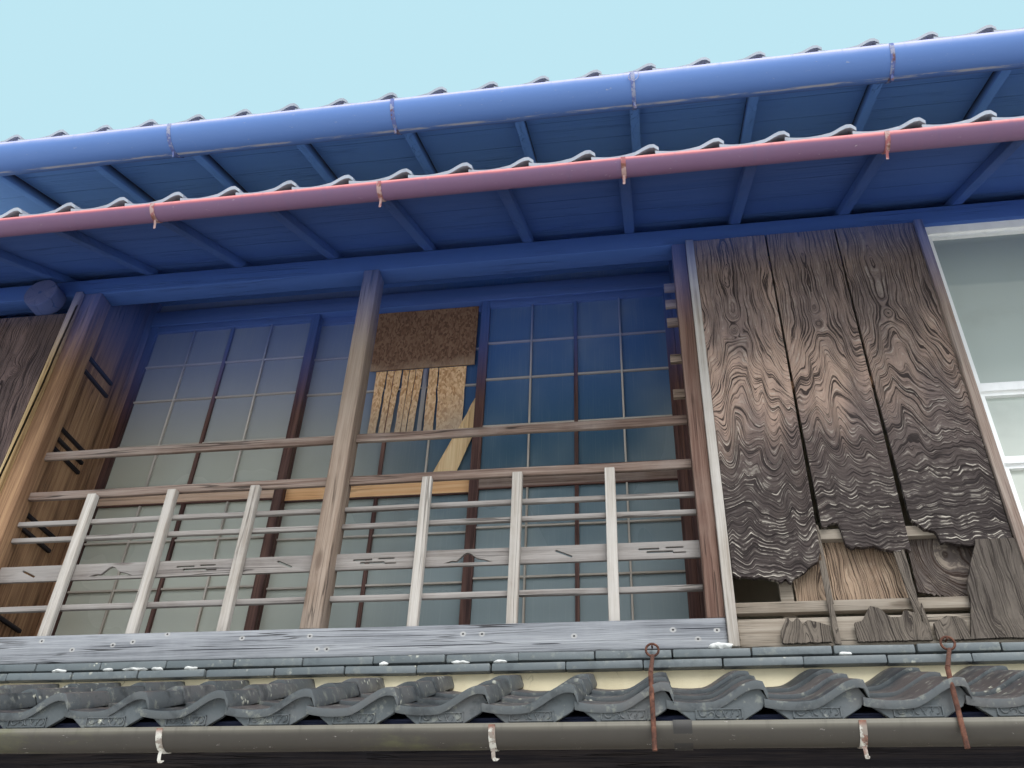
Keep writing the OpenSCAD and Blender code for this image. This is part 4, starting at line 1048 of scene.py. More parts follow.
def make_log_end():
    low, high = street_box("log_end")
    centre = (low + high) / 2
    radius = (high.x - low.x) / 2
    bm = bmesh.new()
    bmesh.ops.create_cone(bm, cap_ends=True, segments=56, radius1=radius, radius2=radius,
                          depth=high.y - low.y, matrix=Matrix.Translation(centre) @ LOG_TURN)
    for vert in bm.verts:
        out = Vector((vert.co.x - centre.x, 0, vert.co.z - centre.z))
        vert.co -= out * (0.03 + 0.05 * noise.noise(out * 16))
    round_edges(bm, 0.006, 3)
    finish_piece("log_face", bm, log_wood("log_wood", centre, radius), ["log_end"])


make_log_end()

# %% [markdown]
# The glass doors slide in the inner wall: dark stiles, a lock rail at waist height, one stout dark bar in
# the middle of each leaf and thin pale ones between. The leaf's box comes from the frame, so only the
# widths of its sticks and the heights of its cross bars are written here.

# %% Glass doors
STILE = 0.045
TOP_RAIL = 0.045
BOTTOM_RAIL = 0.060
LOCK_RAIL = (3.806, 3.895)
BAR_FROM, BAR_TO = 0.003, 0.018
STOUT, THIN = 0.018, 0.009
STILE_FINISH, BAR_FINISH, LOCK_FINISH = 0, 1, 2
# Cross bars by their share of a pane's height, upright bars by their share of its width
CROSS_BARS = {"lower": [0.19, 0.47, 0.76], "upper": [0.25, 0.53, 0.76]}
UPRIGHT_BARS = [(0.25, THIN, BAR_FINISH), (0.5, STOUT, STILE_FINISH), (0.75, THIN, BAR_FINISH)]
MOULDING = 0.007


def make_glass_door(node, lock):
    low, high = street_box(node)
    bm = bmesh.new()
    inner_low, inner_high = low.x + STILE, high.x - STILE
    stick(bm, low, (inner_low, high.y, high.z), STILE_FINISH)
    stick(bm, (inner_high, low.y, low.z), high, STILE_FINISH)
    rails = [(low.z, low.z + BOTTOM_RAIL, STILE_FINISH), (*LOCK_RAIL, LOCK_FINISH),
             (high.z - TOP_RAIL, high.z, STILE_FINISH)]
    for start, end, finish in rails:
        stick(bm, (inner_low, low.y + 0.001, start), (inner_high, high.y - 0.001, end), finish)
    # A thin moulding runs above and below the lock rail
    for edge in (LOCK_RAIL[0] - MOULDING, LOCK_RAIL[1]):
        stick(bm, (inner_low, low.y - 0.002, edge), (inner_high, low.y + 0.010, edge + MOULDING),
              STILE_FINISH)
    panes = [("lower", low.z + BOTTOM_RAIL, LOCK_RAIL[0]), ("upper", LOCK_RAIL[1], high.z - TOP_RAIL)]
    front, back = low.y + BAR_FROM, low.y + BAR_TO
    for part, start, end in panes:
        for share, wide, finish in UPRIGHT_BARS:
            x = inner_low + share * (inner_high - inner_low)
            stick(bm, (x - wide / 2, front, start), (x + wide / 2, back, end), finish)
        for share in CROSS_BARS[part]:
            z = start + share * (end - start)
            stick(bm, (inner_low, front + 0.001, z - THIN / 2), (inner_high, back - 0.001, z + THIN / 2),
                  BAR_FINISH)
    woods = [WOOD["joinery"], WOOD["muntin"], lock]
    finish_sticks(node + "_leaf", bm, woods, [node], radius=0.0012)


make_glass_door("glass_door_left", WOOD["rose"])
make_glass_door("glass_door_middle", WOOD["orange"])
make_glass_door("glass_door_right", WOOD["bar"])

# %% [markdown]
# The upper panes of the middle door are boarded over: a dark sheet at the top, then strips split from a
# pressed board of orange chips, which have gone grey and thin towards the foot, and a thin plank jammed
# aslant between this door and the next. Pressed board is made of flat chips, each a cell with its own
# colour.

# %% Repair boards
SPLIT_LEFT, SPLIT_WIDTH = -0.090, 0.470
# Strips as shares of the width: left and right at the head, left and right at the foot, and if it is grey
SPLITS = [(0, .117, .007, .084, 0), (.129, .203, .122, .174, 0), (.21, .284, .186, .239, 0),
          (.303, .370, .294, .353, 0), (.379, .439, .358, .406, 0), (.446, .523, .418, .484, 0),
          (.530, .582, .532, .575, 1), (.594, .692, .599, .699, 0), (.702, 1, .735, 1, 0)]
SPLIT_Z = (4.125, 4.544)
SPLIT_FACE, SPLIT_THICKNESS = 0.442, 0.004
# The dark sheet over them: its two X, the same at head and foot, then its lower edge
SHEET_X, SHEET_FOOT = (-0.124, 0.422), 4.548
# The plank's two X at its head and at its foot, then those of its sawn edge
PLANK_HEAD, PLANK_TOE = (0.469, 0.530), (0.264, 0.368)
EDGE_HEAD, EDGE_TOE = (0.462, 0.4695), (0.254, 0.264)
PLANK_Z = (3.895, 4.390)
PLANK_FACE, EDGE_FACE = 0.4385, 0.4375
CHIP_FINISH, SHEET_FINISH, GREY_FINISH, PLANK_FINISH = 0, 1, 2, 3


def pressed_board(name, chip, pale, dark, grey, weathered_at):
    """weathered_at gives the heights between which the chips turn from grey to their own colour."""
    finish = Finish(name)
    place = finish.place()
    turn = place.shift(finish.cloud(place, 11) * 0.04)
    value = finish.cells(turn.stretch(1, 1, 0.45), 130, out="Color").part(0)
    colour = finish.shades(value, (0.1, dark), (0.45, chip), (0.85, pale))
    ragged = place.part(2) + finish.cloud(place, 6) * 0.25
    worn = finish.fade(ragged, weathered_at[1] + 0.12, weathered_at[0] + 0.12)
    dull = finish.mix(finish.cloud(place.stretch(120, 120, 12), 1, detail=3), grey, tint(160, 148, 134))
    colour = finish.mix(worn * 0.65, colour, dull)
    colour = finish.mix(finish.fade(finish.cloud(place, 4, detail=4), 0.5, 0.75) * 0.3, colour, dark)
    return finish.apply(colour=colour, rough=0.85, normal=finish.bump(value, 0.0008), gloss=0.2)


CHIP_BOARD = pressed_board("chip_board", tint(212, 170, 128), tint(230, 194, 154), tint(184, 138, 98),
                           tint(172, 158, 140), (4.16, 4.40))
DARK_SHEET = pressed_board("dark_sheet", tint(118, 90, 74), tint(134, 106, 88), tint(98, 72, 60),
                           tint(170, 134, 104), (4.54, 4.62))


def tapered(bm, head, foot, low_z, high_z, face_y, thickness, finish):
    """A thin board whose sides need not be parallel: head and foot are pairs of X."""
    made = bmesh.ops.create_cube(bm, size=1)["verts"]
    for vert in made:
        start, end = head if vert.co.z > 0 else foot
        z = high_z if vert.co.z > 0 else low_z
        vert.co = Vector((end if vert.co.x > 0 else start, face_y + (thickness if vert.co.y > 0 else 0), z))
    for face in faces_of(made):
        face.material_index = finish


def make_repair_boards():
    sheet_low, sheet_high = street_box("repair_boards")
    bm = bmesh.new()
    tapered(bm, SHEET_X, SHEET_X, SHEET_FOOT, sheet_high.z, sheet_low.y, 0.006, SHEET_FINISH)
    for left, right, foot_left, foot_right, grey in SPLITS:
        head = [SPLIT_LEFT + share * SPLIT_WIDTH for share in (left, right)]
        foot = [SPLIT_LEFT + share * SPLIT_WIDTH for share in (foot_left, foot_right)]
        drop = rng.uniform(-0.004, 0.006)
        tapered(bm, head, foot, SPLIT_Z[0] + drop, SPLIT_Z[1], SPLIT_FACE, SPLIT_THICKNESS,
                GREY_FINISH if grey else CHIP_FINISH)
    tapered(bm, PLANK_HEAD, PLANK_TOE, *PLANK_Z, PLANK_FACE, 0.003, PLANK_FINISH)
    tapered(bm, EDGE_HEAD, EDGE_TOE, *PLANK_Z, EDGE_FACE, 0.004, PLANK_FINISH)
    cut_across(bm, ALONG_Z, 0.05)
    for vert in bm.verts:
        if vert.co.z < SPLIT_Z[1] - 0.02:
            vert.co.x += 0.004 * noise.noise(Vector((vert.co.x * 30, 1.5, vert.co.z * 18)))
    for group in islands(bm):
        lay_grain(bm, group, ALONG_Z)
    woods = [CHIP_BOARD, DARK_SHEET, WOOD["rail"], WOOD["tan"]]
    finish_piece("repair_pieces", bm, woods, ["repair_boards"])


make_repair_boards()

# %% [markdown]
# Fired clay tiles keep their shape but not their colour: each came out of the kiln a little different,
# the faces have browned, lichen spots the ends, and the edges are pale where they chip. The tone
# attribute holds one random number a tile.

# %% Tile, plaster and stone finishes
def tile_clay(name, dark, blue, brown, front, lichen=0.5):
    """The front of a tile is a little paler than its worn, browned face, which looks up."""
    finish = Finish(name)
    place = finish.place()
    # Faces that look up are browned, and the fronts, which don't, are paler: partly weather, partly painted
    # light on the fronts.
    tone = finish.read("tone")
    upward = finish.upward()
    body = finish.mix(tone, dark, blue)
    browned = finish.cloud(place, 5.5, detail=5, rough=0.6) + tone * 0.2 + upward * 0.12
    stain = finish.fade(browned, 0.56, 0.76)
    body = finish.mix(stain * 0.75, body, brown)
    # Painted light, partly weather: faces that don't look up are mixed towards the paler front colour
    body = finish.mix(finish.fade(upward, 0.70, 0.25) * 0.55, body, front)
    dust = finish.cloud(place, 70, detail=4, rough=0.7)
    body = finish.mix(finish.fade(dust, 0.50, 0.78) * 0.25, body, front)
    worn = finish.fade(finish.cloud(place, 24, detail=5, rough=0.7), 0.54, 0.66)
    body = finish.mix(worn * (lichen * 0.45), body, tint(148, 148, 136))
    grime = finish.fade(finish.cloud(place, 13, detail=5, rough=0.65), 0.52, 0.66)
    body = finish.mix(grime * (lichen * 0.55), body, dark)
    spots = finish.fade(finish.cells(place.shift(finish.cloud(place, 40) * 0.02), 38), 0.30, 0.12)
    group = finish.cloud(place, 3.2, detail=4, rough=0.7)
    cluster = finish.fade(group, 0.66 - lichen * 0.15, 0.74 - lichen * 0.13)
    body = finish.mix(spots * cluster * 0.85, body, tint(206, 204, 186))
    height = dust * 0.7 + spots * cluster
    return finish.apply(colour=body, rough=0.40 + dust * 0.25, normal=finish.bump(height, 0.0012), gloss=0.6)


def plaster(name, cream, stain, dirt=0.5):
    finish = Finish(name)
    place = finish.place()
    broad = finish.cloud(place, 1.6, detail=5, rough=0.6)
    runs = finish.cloud(place.stretch(9, 9, 0.9), 1, detail=4, rough=0.6)
    grit = finish.cloud(place, 160, detail=3, rough=0.7)
    colour = finish.mix(finish.fade(broad, 0.35, 0.75) * 0.5, cream, stain)
    colour = finish.mix(finish.fade(runs, 0.52, 0.80) * dirt, colour, stain)
    crack = finish.fade((finish.cloud(place, 1.7, detail=5, rough=0.6) - 0.5).size(), 0.004, 0.001)
    crack = crack * finish.fade(broad, 0.52, 0.62)
    colour = finish.mix(crack * 0.5, colour, tint(92, 84, 70))
    colour = finish.mix(finish.fade(grit, 0.60, 0.85) * 0.3, colour, tint(238, 230, 208))
    relief = finish.bump(grit + broad * 2 - crack, 0.0015)
    return finish.apply(colour=colour, rough=0.92, normal=relief, gloss=0.1)


def stone(name):
    finish = Finish(name)
    place = finish.place()
    speck = finish.cells(place, 260, out="Color").part(0)
    broad = finish.cloud(place, 4, detail=5, rough=0.6)
    colour = finish.shades(speck, (0.15, tint(92, 92, 92)), (0.5, tint(142, 141, 138)),
                           (0.9, tint(186, 184, 180)))
    colour = finish.mix(finish.fade(broad, 0.45, 0.75) * 0.5, colour, tint(98, 94, 84))
    pits = finish.cloud(place, 90, detail=4, rough=0.7)
    return finish.apply(colour=colour, rough=0.88, normal=finish.bump(pits, 0.004), gloss=0.25)


TILE_CLAY = tile_clay("tile_clay", tint(36, 38, 42), tint(66, 70, 76), tint(88, 76, 72),
                      tint(100, 104, 105), 1.0)
ROOF_CLAY = tile_clay("roof_clay", tint(78, 86, 104), tint(126, 134, 152), tint(112, 110, 120),
                      tint(206, 212, 222), 0.3)
FLAT_CLAY = tile_clay("flat_clay", tint(70, 76, 79), tint(108, 114, 116), tint(98, 101, 100),
                      tint(110, 116, 118), 0.8)
CREAM_PLASTER = plaster("cream_plaster", tint(222, 210, 178), tint(186, 170, 134), dirt=0.35)
WALL_PLASTER = plaster("wall_plaster", tint(196, 184, 158), tint(134, 122, 104), dirt=0.55)
GRANITE = stone("granite")
print("clay, plaster and stone ready")

# %% [markdown]
# A roof tile of this kind is one wave wide: a shallow trough to the left and a raised roll to the right
# that laps over the next tile's lip. One is shaped from a flat grid and given its thickness, and on the
# lower roof its edges are rounded. Copies are then laid in courses, each moved and turned by a hair so
# that the rows are as uneven as hand-laid ones.

# %% One roof tile
TILE_PITCH = 0.246
LEFT_LIP = -0.232
RIGHT_LIP = 0.030
TROUGH_MIDDLE = -0.152
REAR_THICKNESS = 0.006
# Past its crest the roll ends in a blunt side, turned down onto the next tile
TURN_DOWN = 0.024
LIP_HEIGHT = 0.022
# The lower roof has wide rolls and thick fronts, the two roofs above it narrow high rolls
LOW_SHAPE = dict(rise=0.054, roll_from=-0.122, thickness=0.022)
HIGH_SHAPE = dict(rise=0.038, roll_from=-0.078, thickness=0.014)


def tile_height(x, rise, roll_from):
    """How high a tile's face is at X, measured from its crest."""
    dip = 0.009 * ((min(x, roll_from) - TROUGH_MIDDLE) / 0.080) ** 2
    if x < roll_from:
        return dip
    if x < 0:
        return dip + (rise - dip) * smooth(x, roll_from, 0.004)
    if x < TURN_DOWN:
        return rise - 0.005 * (x / TURN_DOWN) ** 2
    return LIP_HEIGHT


def make_tile(length, across, along, rise, roll_from, thickness, edge=0.0):
    """A tile with its front edge at Y = 0 and its trough's face at Z = 0."""
    bm = bmesh.new()
    bmesh.ops.create_grid(bm, x_segments=across, y_segments=along, size=0.5)
    for vert in bm.verts:
        x = LEFT_LIP + (vert.co.x + 0.5) * (RIGHT_LIP - LEFT_LIP)
        vert.co = Vector((x, (vert.co.y + 0.5) * length, tile_height(x, rise, roll_from)))
    rim = [e for e in bm.edges if e.is_boundary]
    pushed = bmesh.ops.extrude_face_region(bm, geom=bm.faces[:] + rim)["geom"]
    for vert in verts_in(pushed):
        vert.co.z -= thickness + (REAR_THICKNESS - thickness) * vert.co.y / length
    bmesh.ops.recalc_face_normals(bm, faces=bm.faces)
    if edge:
        round_edges(bm, edge, edges=sharp_edges(bm, math.radians(60)))
    return bm


PLATE_DEPTH = 0.050
PLATE_THICKNESS = 0.013
# Curls in the field of an eave plate: X, radius, where each starts
CURLS = [
    (-0.141, .009, 0.4), (-0.120, .008, 3.4), (-0.099, .010, 1.6), (-0.078, .008, 5.9), (-0.057, .009, 2.8),
]
CURL_TURN = math.radians(285)


def eave_plate(rise, roll_from, thickness):
    """The upright plate under the front of an eave tile, cut back at its lower corners."""
    bm = bmesh.new()
    top = [LEFT_LIP + 0.012 + i * 0.0205 for i in range(13)]
    corners = [(-0.166, 0, -PLATE_DEPTH), (-0.044, 0, -PLATE_DEPTH), (0.010, 0, -PLATE_DEPTH * 0.35)]
    corners += [(x, 0, tile_height(x, rise, roll_from) - thickness * 0.6) for x in reversed(top)]
    face = bm.faces.new([bm.verts.new(c) for c in corners])
    pushed = bmesh.ops.extrude_face_region(bm, geom=[face])["geom"]
    bmesh.ops.translate(bm, verts=verts_in(pushed), vec=(0, PLATE_THICKNESS, 0))
    bmesh.ops.recalc_face_normals(bm, faces=bm.faces)
    round_edges(bm, 0.0015, 1)
    return bm


def curl(bm, centre, radius, start, turn, wire=0.0021, steps=9):
    """A rolled line of clay: a small circle spun part of the way round an axis that points out."""
    made = bmesh.ops.create_circle(bm, cap_ends=True, segments=6, radius=wire)["verts"]
    spin_at = Matrix.Rotation(start, 4, "Y") @ Matrix.Translation((radius, 0, 0))
    bmesh.ops.transform(bm, matrix=Matrix.Translation(centre) @ spin_at, verts=made)
    faces = faces_of(made)
    edges = {e for f in faces for e in f.edges}
    bmesh.ops.spin(bm, geom=list(faces | edges) + made, cent=centre, axis=(0, 1, 0), angle=turn, steps=steps)


def frame_and_scrolls(bm):
    """A raised border and five curls on the face of an eave plate."""
    left, right, low, high = -0.160, -0.040, -PLATE_DEPTH + 0.007, -0.016
    bars = [((left, low), (right, low + 0.003)), ((left, high - 0.003), (right, high)),
            ((left, low), (left + 0.003, high)), ((right - 0.003, low), (right, high))]
    for (x0, z0), (x1, z1) in bars:
        at = block(((x0 + x1) / 2, -0.002, (z0 + z1) / 2), (x1 - x0, 0.004, z1 - z0))
        bmesh.ops.create_cube(bm, size=1, matrix=at)
    middle = (low + high) / 2
    for i, (x, radius, start) in enumerate(CURLS):
        curl(bm, Vector((x, -0.001, middle + 0.003 * (-1) ** i)), radius, start, CURL_TURN)


eave_tile = make_tile(0.285, 24, 3, **LOW_SHAPE, edge=0.0025)
print("a tile has", len(eave_tile.faces), "faces")

# %% [markdown]
# A roof is a plane: it rises by its pitch from a line that the boarding under it gives. A tile's matrix
# turns it up the slope, lifts its front onto the tile below, and sets it in its row and course.

# %% Laying tiles
LOW_PITCH = 0.43
PENT_PITCH = 0.56
MAIN_PITCH = 0.45
LOW_LIFT = 0.034
HIGH_LIFT = 0.012


def slope_matrix(x, along, front, pitch, lift, tilt, rear=False):
    """Where a tile lies: along is its way up the slope from front, the (Y, Z) where the boarding starts."""
    angle = math.atan(pitch)
    y = front[0] + along * math.cos(angle) - lift * math.sin(angle)
    z = front[1] + along * math.sin(angle) + lift * math.cos(angle)
    turned = Matrix.Translation((x, y, z)) @ Matrix.Rotation(angle - tilt, 4, "X")
    if not rear:
        return turned
    mirror = Matrix.Translation((0, 2 * (ridge_low.y + ridge_half), 0)) @ Matrix.Diagonal((1, -1, 1, 1))
    return mirror @ turned


def lay(bm, template, matrix):
    """Adds a copy of a template mesh at a matrix, with a tone of its own."""
    start = len(bm.verts)
    bm.from_mesh(template)
    bm.verts.ensure_lookup_table()
    fresh = bm.verts[start:]
    bmesh.ops.transform(bm, matrix=matrix, verts=fresh)
    tone = bm.verts.layers.float["tone"]
    shade = rng.random()
    for vert in fresh:
        vert[tone] = shade


def lay_courses(bm, template, crests, starts, front, pitch, tilt, lift=HIGH_LIFT, rear=False, shake=0.0025):
    for along in starts:
        for x in crests:
            jog = rng.uniform(-shake, shake)
            twist = Matrix.Rotation(rng.uniform(-0.012, 0.012), 4, "Z")
            slip = rng.uniform(-shake, shake) * 1.6
            lay(bm, template, slope_matrix(x + jog, along + slip, front, pitch, lift, tilt, rear) @ twist)


def toned_mesh():
    """An empty mesh whose vertices can hold a tone."""
    bm = bmesh.new()
    bm.verts.layers.float.new("tone")
    return bm


def as_mesh(bm, name):
    """Turns a tile or plate into a template, with room for the tone of its copies."""
    mesh = bpy.data.meshes.new(name)
    bm.verts.layers.float.new("tone")
    bm.to_mesh(mesh)
    bm.free()
    return mesh


def crests_from(one, low, high):
    """Every crest of a row between two party walls, from the place of one of them."""
    first = one - TILE_PITCH * math.floor((one - low - 0.20) / TILE_PITCH)
    count = int((high - 0.03 - first) / TILE_PITCH) + 1
    return [first + i * TILE_PITCH for i in range(count)]


ridge_low, ridge_high = street_box("main_ridge")
ridge_half = (ridge_high.y - ridge_low.y) / 2

# %% Lower roof tiles
house_low, house_high = street_box("low_tiles")
low_deck_high = street_box("low_deck")[1]
LOW_FRONT = (house_low.y, low_deck_high.z - LOW_PITCH * (low_deck_high.y - house_low.y))
LOW_COURSES = [0.0, 0.212, 0.424]
LOW_TILT = math.radians(3.2)


def make_low_tiles():
    template = as_mesh(eave_tile, "eave_tile")
    bm = toned_mesh()
    crests = crests_from(-0.462, house_low.x, house_high.x)
    lay_courses(bm, template, crests, LOW_COURSES, LOW_FRONT, LOW_PITCH, LOW_TILT, LOW_LIFT, shake=0.004)
    plate = eave_plate(**LOW_SHAPE)
    frame_and_scrolls(plate)
    plate = as_mesh(plate, "eave_plate")
    for x in crests:
        at = slope_matrix(x, 0.013, LOW_FRONT, LOW_PITCH, LOW_LIFT, 0)
        lay(bm, plate, Matrix.Translation(at.translation) @ Matrix.Rotation(math.radians(6), 4, "X"))
    print("lower roof:", len(crests), "tiles in each of", len(LOW_COURSES), "courses")
    finish_piece("low_roof_tiles", bm, TILE_CLAY, ["low_tiles"])


make_low_tiles()

# %% Pent and main roof tiles
plain_tile = as_mesh(make_tile(0.270, 14, 1, **HIGH_SHAPE), "plain_tile")
COURSE = 0.228
HIGH_TILT = math.radians(3.3)


def make_pent_tiles():
    low, high = street_box("pent_tiles")
    deck_high = street_box("pent_deck")[1]
    front = (low.y, deck_high.z - PENT_PITCH * (deck_high.y - low.y))
    length = (high.y - low.y) / math.cos(math.atan(PENT_PITCH))
    starts = [i * COURSE for i in range(int((length - 0.20) / COURSE) + 1)]
    bm = toned_mesh()
    lay_courses(bm, plain_tile, crests_from(-1.357, low.x, high.x), starts, front, PENT_PITCH, HIGH_TILT)
    finish_piece("pent_roof_tiles", bm, ROOF_CLAY, ["pent_tiles"])


def make_main_tiles():
    low, high = street_box("main_tiles")
    deck_high = street_box("main_deck")[1]
    ridge_y = (low.y + high.y) / 2
    front = (low.y, deck_high.z - MAIN_PITCH * (ridge_y - low.y))
    length = (ridge_y - low.y) / math.cos(math.atan(MAIN_PITCH))
    starts = [i * COURSE for i in range(int((length - 0.16) / COURSE) + 1)]
    crests = crests_from(-1.082, low.x, high.x)
    bm = toned_mesh()
    for rear in (False, True):
        lay_courses(bm, plain_tile, crests, starts, front, MAIN_PITCH, HIGH_TILT, rear=rear)
    bmesh.ops.recalc_face_normals(bm, faces=bm.faces)
    print("main roof:", len(starts), "courses a side of", len(crests))
    finish_piece("main_roof_tiles", bm, ROOF_CLAY, ["main_tiles"])


make_pent_tiles()
make_main_tiles()

# %% [markdown]
# Where the lower roof meets the wall, plaster closes the waves and two rows of flat tiles lie on it,
# about 26 centimetres long, a hair apart and never quite level.

# %% Flat tiles
FLAT_LENGTH = 0.260
FLAT_JOINT = 0.004
UPPER_JOINT, LOWER_JOINT = 0.003, 0.166
ROW_GAP = 0.010
ROW_SLANT = 0.04
# How far the upper row stands back from the lower one
ROW_STEP = 0.010


def flat_row(bm, low, high, joint, gap=0.004, slant=0.0):
    """Fills a box with a row of flat tiles along X. joint is the X of one joint, gap the air over the row."""
    tone = bm.verts.layers.float["tone"]
    x = low.x - (low.x - joint) % FLAT_LENGTH
    while x < high.x - 0.01:
        start = max(x + rng.uniform(-0.004, 0.004), low.x)
        end = min(x + FLAT_LENGTH - FLAT_JOINT, high.x)
        if end - start > 0.02:
            size = Vector((end - start, high.y - low.y, high.z - low.z - gap))
            middle = (low + high) / 2
            centre = Vector(((start + end) / 2, middle.y + rng.uniform(-0.004, 0.002), middle.z - gap / 2))
            turn = Matrix.Rotation(rng.uniform(-0.010, 0.010), 4, "Y") @ Matrix.Rotation(slant, 4, "X")
            shade = rng.random()
            for vert in bmesh.ops.create_cube(bm, size=1, matrix=block(centre, size, turn))["verts"]:
                vert[tone] = shade
        x += FLAT_LENGTH


def make_flat_rows():
    low, high = street_box("ridge_courses")
    middle = (low.z + high.z) / 2
    bm = toned_mesh()
    flat_row(bm, low, Vector((high.x, high.y, middle)), LOWER_JOINT, ROW_GAP, ROW_SLANT)
    flat_row(bm, Vector((low.x, low.y + ROW_STEP, middle)), high, UPPER_JOINT, ROW_GAP, ROW_SLANT)
    round_edges(bm, 0.004)
    finish_piece("flat_tiles", bm, FLAT_CLAY, ["ridge_courses"])


# %% [markdown]
# White mortar has been pressed in here and there between the two rows, and a lump of it fills the corner
# under the right end of the sill. Each patch is a ball of a few faces, flattened and roughened.

# %% Mortar
# Patches between the rows: X and half the length
PATCHES = [
    (-0.938, 0.030), (-0.742, 0.020), (-0.635, 0.052), (-0.548, 0.022), (-0.419, 0.026), (0.576, 0.032),
    (0.716, 0.024), (0.30, 0.016), (1.86, 0.020), (-1.42, 0.040), (-1.90, 0.028),
]
MORTAR_Y = -0.080


def lump(bm, centre, radii):
    ball = bmesh.ops.create_icosphere(bm, subdivisions=3, radius=1, matrix=block(centre, radii))
    for vert in ball["verts"]:
        vert.co += noise.noise_vector(vert.co * 60) * min(radii) * 0.7


def make_mortar():
    low, high = street_box("ridge_courses")
    middle = (low.z + high.z) / 2
    bm = bmesh.new()
    for x, half in PATCHES:
        lump(bm, Vector((x, MORTAR_Y, middle - 0.005)), (half, 0.012, 0.0065))
    lump(bm, Vector((1.472, -0.052, high.z + 0.003)), (0.036, 0.020, 0.011))
    lump(bm, Vector((1.447, -0.056, high.z + 0.002)), (0.022, 0.014, 0.008))
    finish_piece("mortar", bm, WHITE_MORTAR)


WHITE_MORTAR = plaster("white_mortar", tint(226, 226, 222), tint(186, 186, 182), dirt=0.3)
make_mortar()

# %% [markdown]
# The ridge of the main roof is built like the flat rows: three rows, each drawn in from the one below, on
# a solid foot and under a cap of round tiles.

# %% Ridge
RIDGE_ROWS = 3
RIDGE_ROW = 0.050
RIDGE_FOOT = 0.060
RIDGE_INSET = 0.024
CAP_RADII = (0.076, 0.080)


def make_ridge():
    bm = toned_mesh()
    foot_top = ridge_low.z + RIDGE_FOOT
    for i in range(RIDGE_ROWS):
        inset = RIDGE_INSET * i
        low = Vector((ridge_low.x, ridge_low.y + inset, foot_top + RIDGE_ROW * i))
        high = Vector((ridge_high.x, ridge_high.y - inset, foot_top + RIDGE_ROW * (i + 1)))
        flat_row(bm, low, high, FLAT_LENGTH * 0.45 * i)
    foot_low = Vector((ridge_low.x, ridge_low.y + 0.03, ridge_low.z))
    size = Vector((ridge_high.x - ridge_low.x, 2 * ridge_half - 0.06, RIDGE_FOOT + 0.002))
    bmesh.ops.create_cube(bm, size=1, matrix=block(foot_low + size / 2, size))
    round_edges(bm, 0.004)
    cap_y = (ridge_low.y + ridge_high.y) / 2
    cap_z = foot_top + RIDGE_ROW * RIDGE_ROWS
    x = ridge_low.x
    while x < ridge_high.x - 0.02:
        end = min(x + FLAT_LENGTH, ridge_high.x)
        across = Matrix.Translation(((x + end) / 2, cap_y, cap_z)) @ Matrix.Rotation(math.radians(90), 4, "Y")
        bmesh.ops.create_cone(bm, cap_ends=True, segments=24, radius1=CAP_RADII[0], radius2=CAP_RADII[1],
                              depth=end - x, matrix=across)
        x = end
    finish_piece("ridge_tiles", bm, ROOF_CLAY, ["main_ridge"])


make_flat_rows()
make_ridge()

# %% [markdown]
# The gutters are painted sheet metal: a taupe one below, a red one that has faded to pink under the
# gallery's eave, and a blue one at the main eave, whose pale blue is partly a painted haze. Paint chalks
# along the top where the sun reaches, water leaves dark runs, the undersides are painted dark as shade, and
# on the blue one dust has dried in a broken line under the belly.

# %% Metal finishes
DUST_LINE = -0.495
LOW_STRAPS, PENT_STRAPS = 3.5, 4.95


def painted_metal(name, paint, faded, dirt, chalk=0.5, lichen=0.0, dusty=0.0):
    finish = Finish(name)
    place = finish.place()
    upward = finish.upward()
    broad = finish.cloud(place.stretch(1.4, 4, 4), detail=5, rough=0.65)
    runs = finish.cloud(place.stretch(38, 8, 2.5), detail=3, rough=0.6)
    sun = finish.fade(upward + broad * 0.5, -0.20, 0.45)
    colour = finish.mix(sun * chalk, paint, faded)
    colour = finish.mix(finish.fade(runs, 0.50, 0.80) * 0.35, colour, dirt)
    # Painted shade: faces that look down are mixed towards the dirt colour, which stands for shade here as
    # well as grime
    colour = finish.mix(finish.fade(upward + broad * 0.4, 0.10, -0.22) * 0.88, colour, dirt)
    chips = finish.fade(finish.cloud(place.stretch(1, 3, 3), 26, detail=6, rough=0.75), 0.64, 0.70)
    colour = finish.mix(chips * 0.7, colour, tint(206, 196, 190))
    if lichen:
        green = finish.fade(finish.cloud(place.stretch(2.2, 6, 6), detail=6, rough=0.7), 0.56, 0.74)
        colour = finish.mix(green * lichen, colour, tint(112, 112, 70))
    if dusty:
        off = (place.part(1) - (DUST_LINE + STREET.y) + broad * 0.010).size()
        crumbs = finish.fade(finish.cloud(place.stretch(6, 60, 60), detail=5, rough=0.7), 0.42, 0.56)
        line = finish.fade(off, 0.012, 0.003) * crumbs * finish.fade(upward, -0.1, -0.5)
        colour = finish.mix(line * dusty, colour, tint(214, 204, 196))
    dull = finish.cloud(place, 9, detail=3)
    relief = finish.bump(broad + chips * 0.2, 0.002)
    return finish.apply(colour=colour, rough=0.42 + dull * 0.35, normal=relief, gloss=0.45)


def rusty_iron(name):
    finish = Finish(name)
    scale = finish.cloud(finish.place(), 55, detail=5, rough=0.7)
    colour = finish.shades(scale, (0.28, tint(52, 36, 32)), (0.5, tint(96, 62, 50)),
                           (0.72, tint(132, 90, 72)))
    return finish.apply(colour=colour, rough=0.85, normal=finish.bump(scale, 0.0015), gloss=0.3)


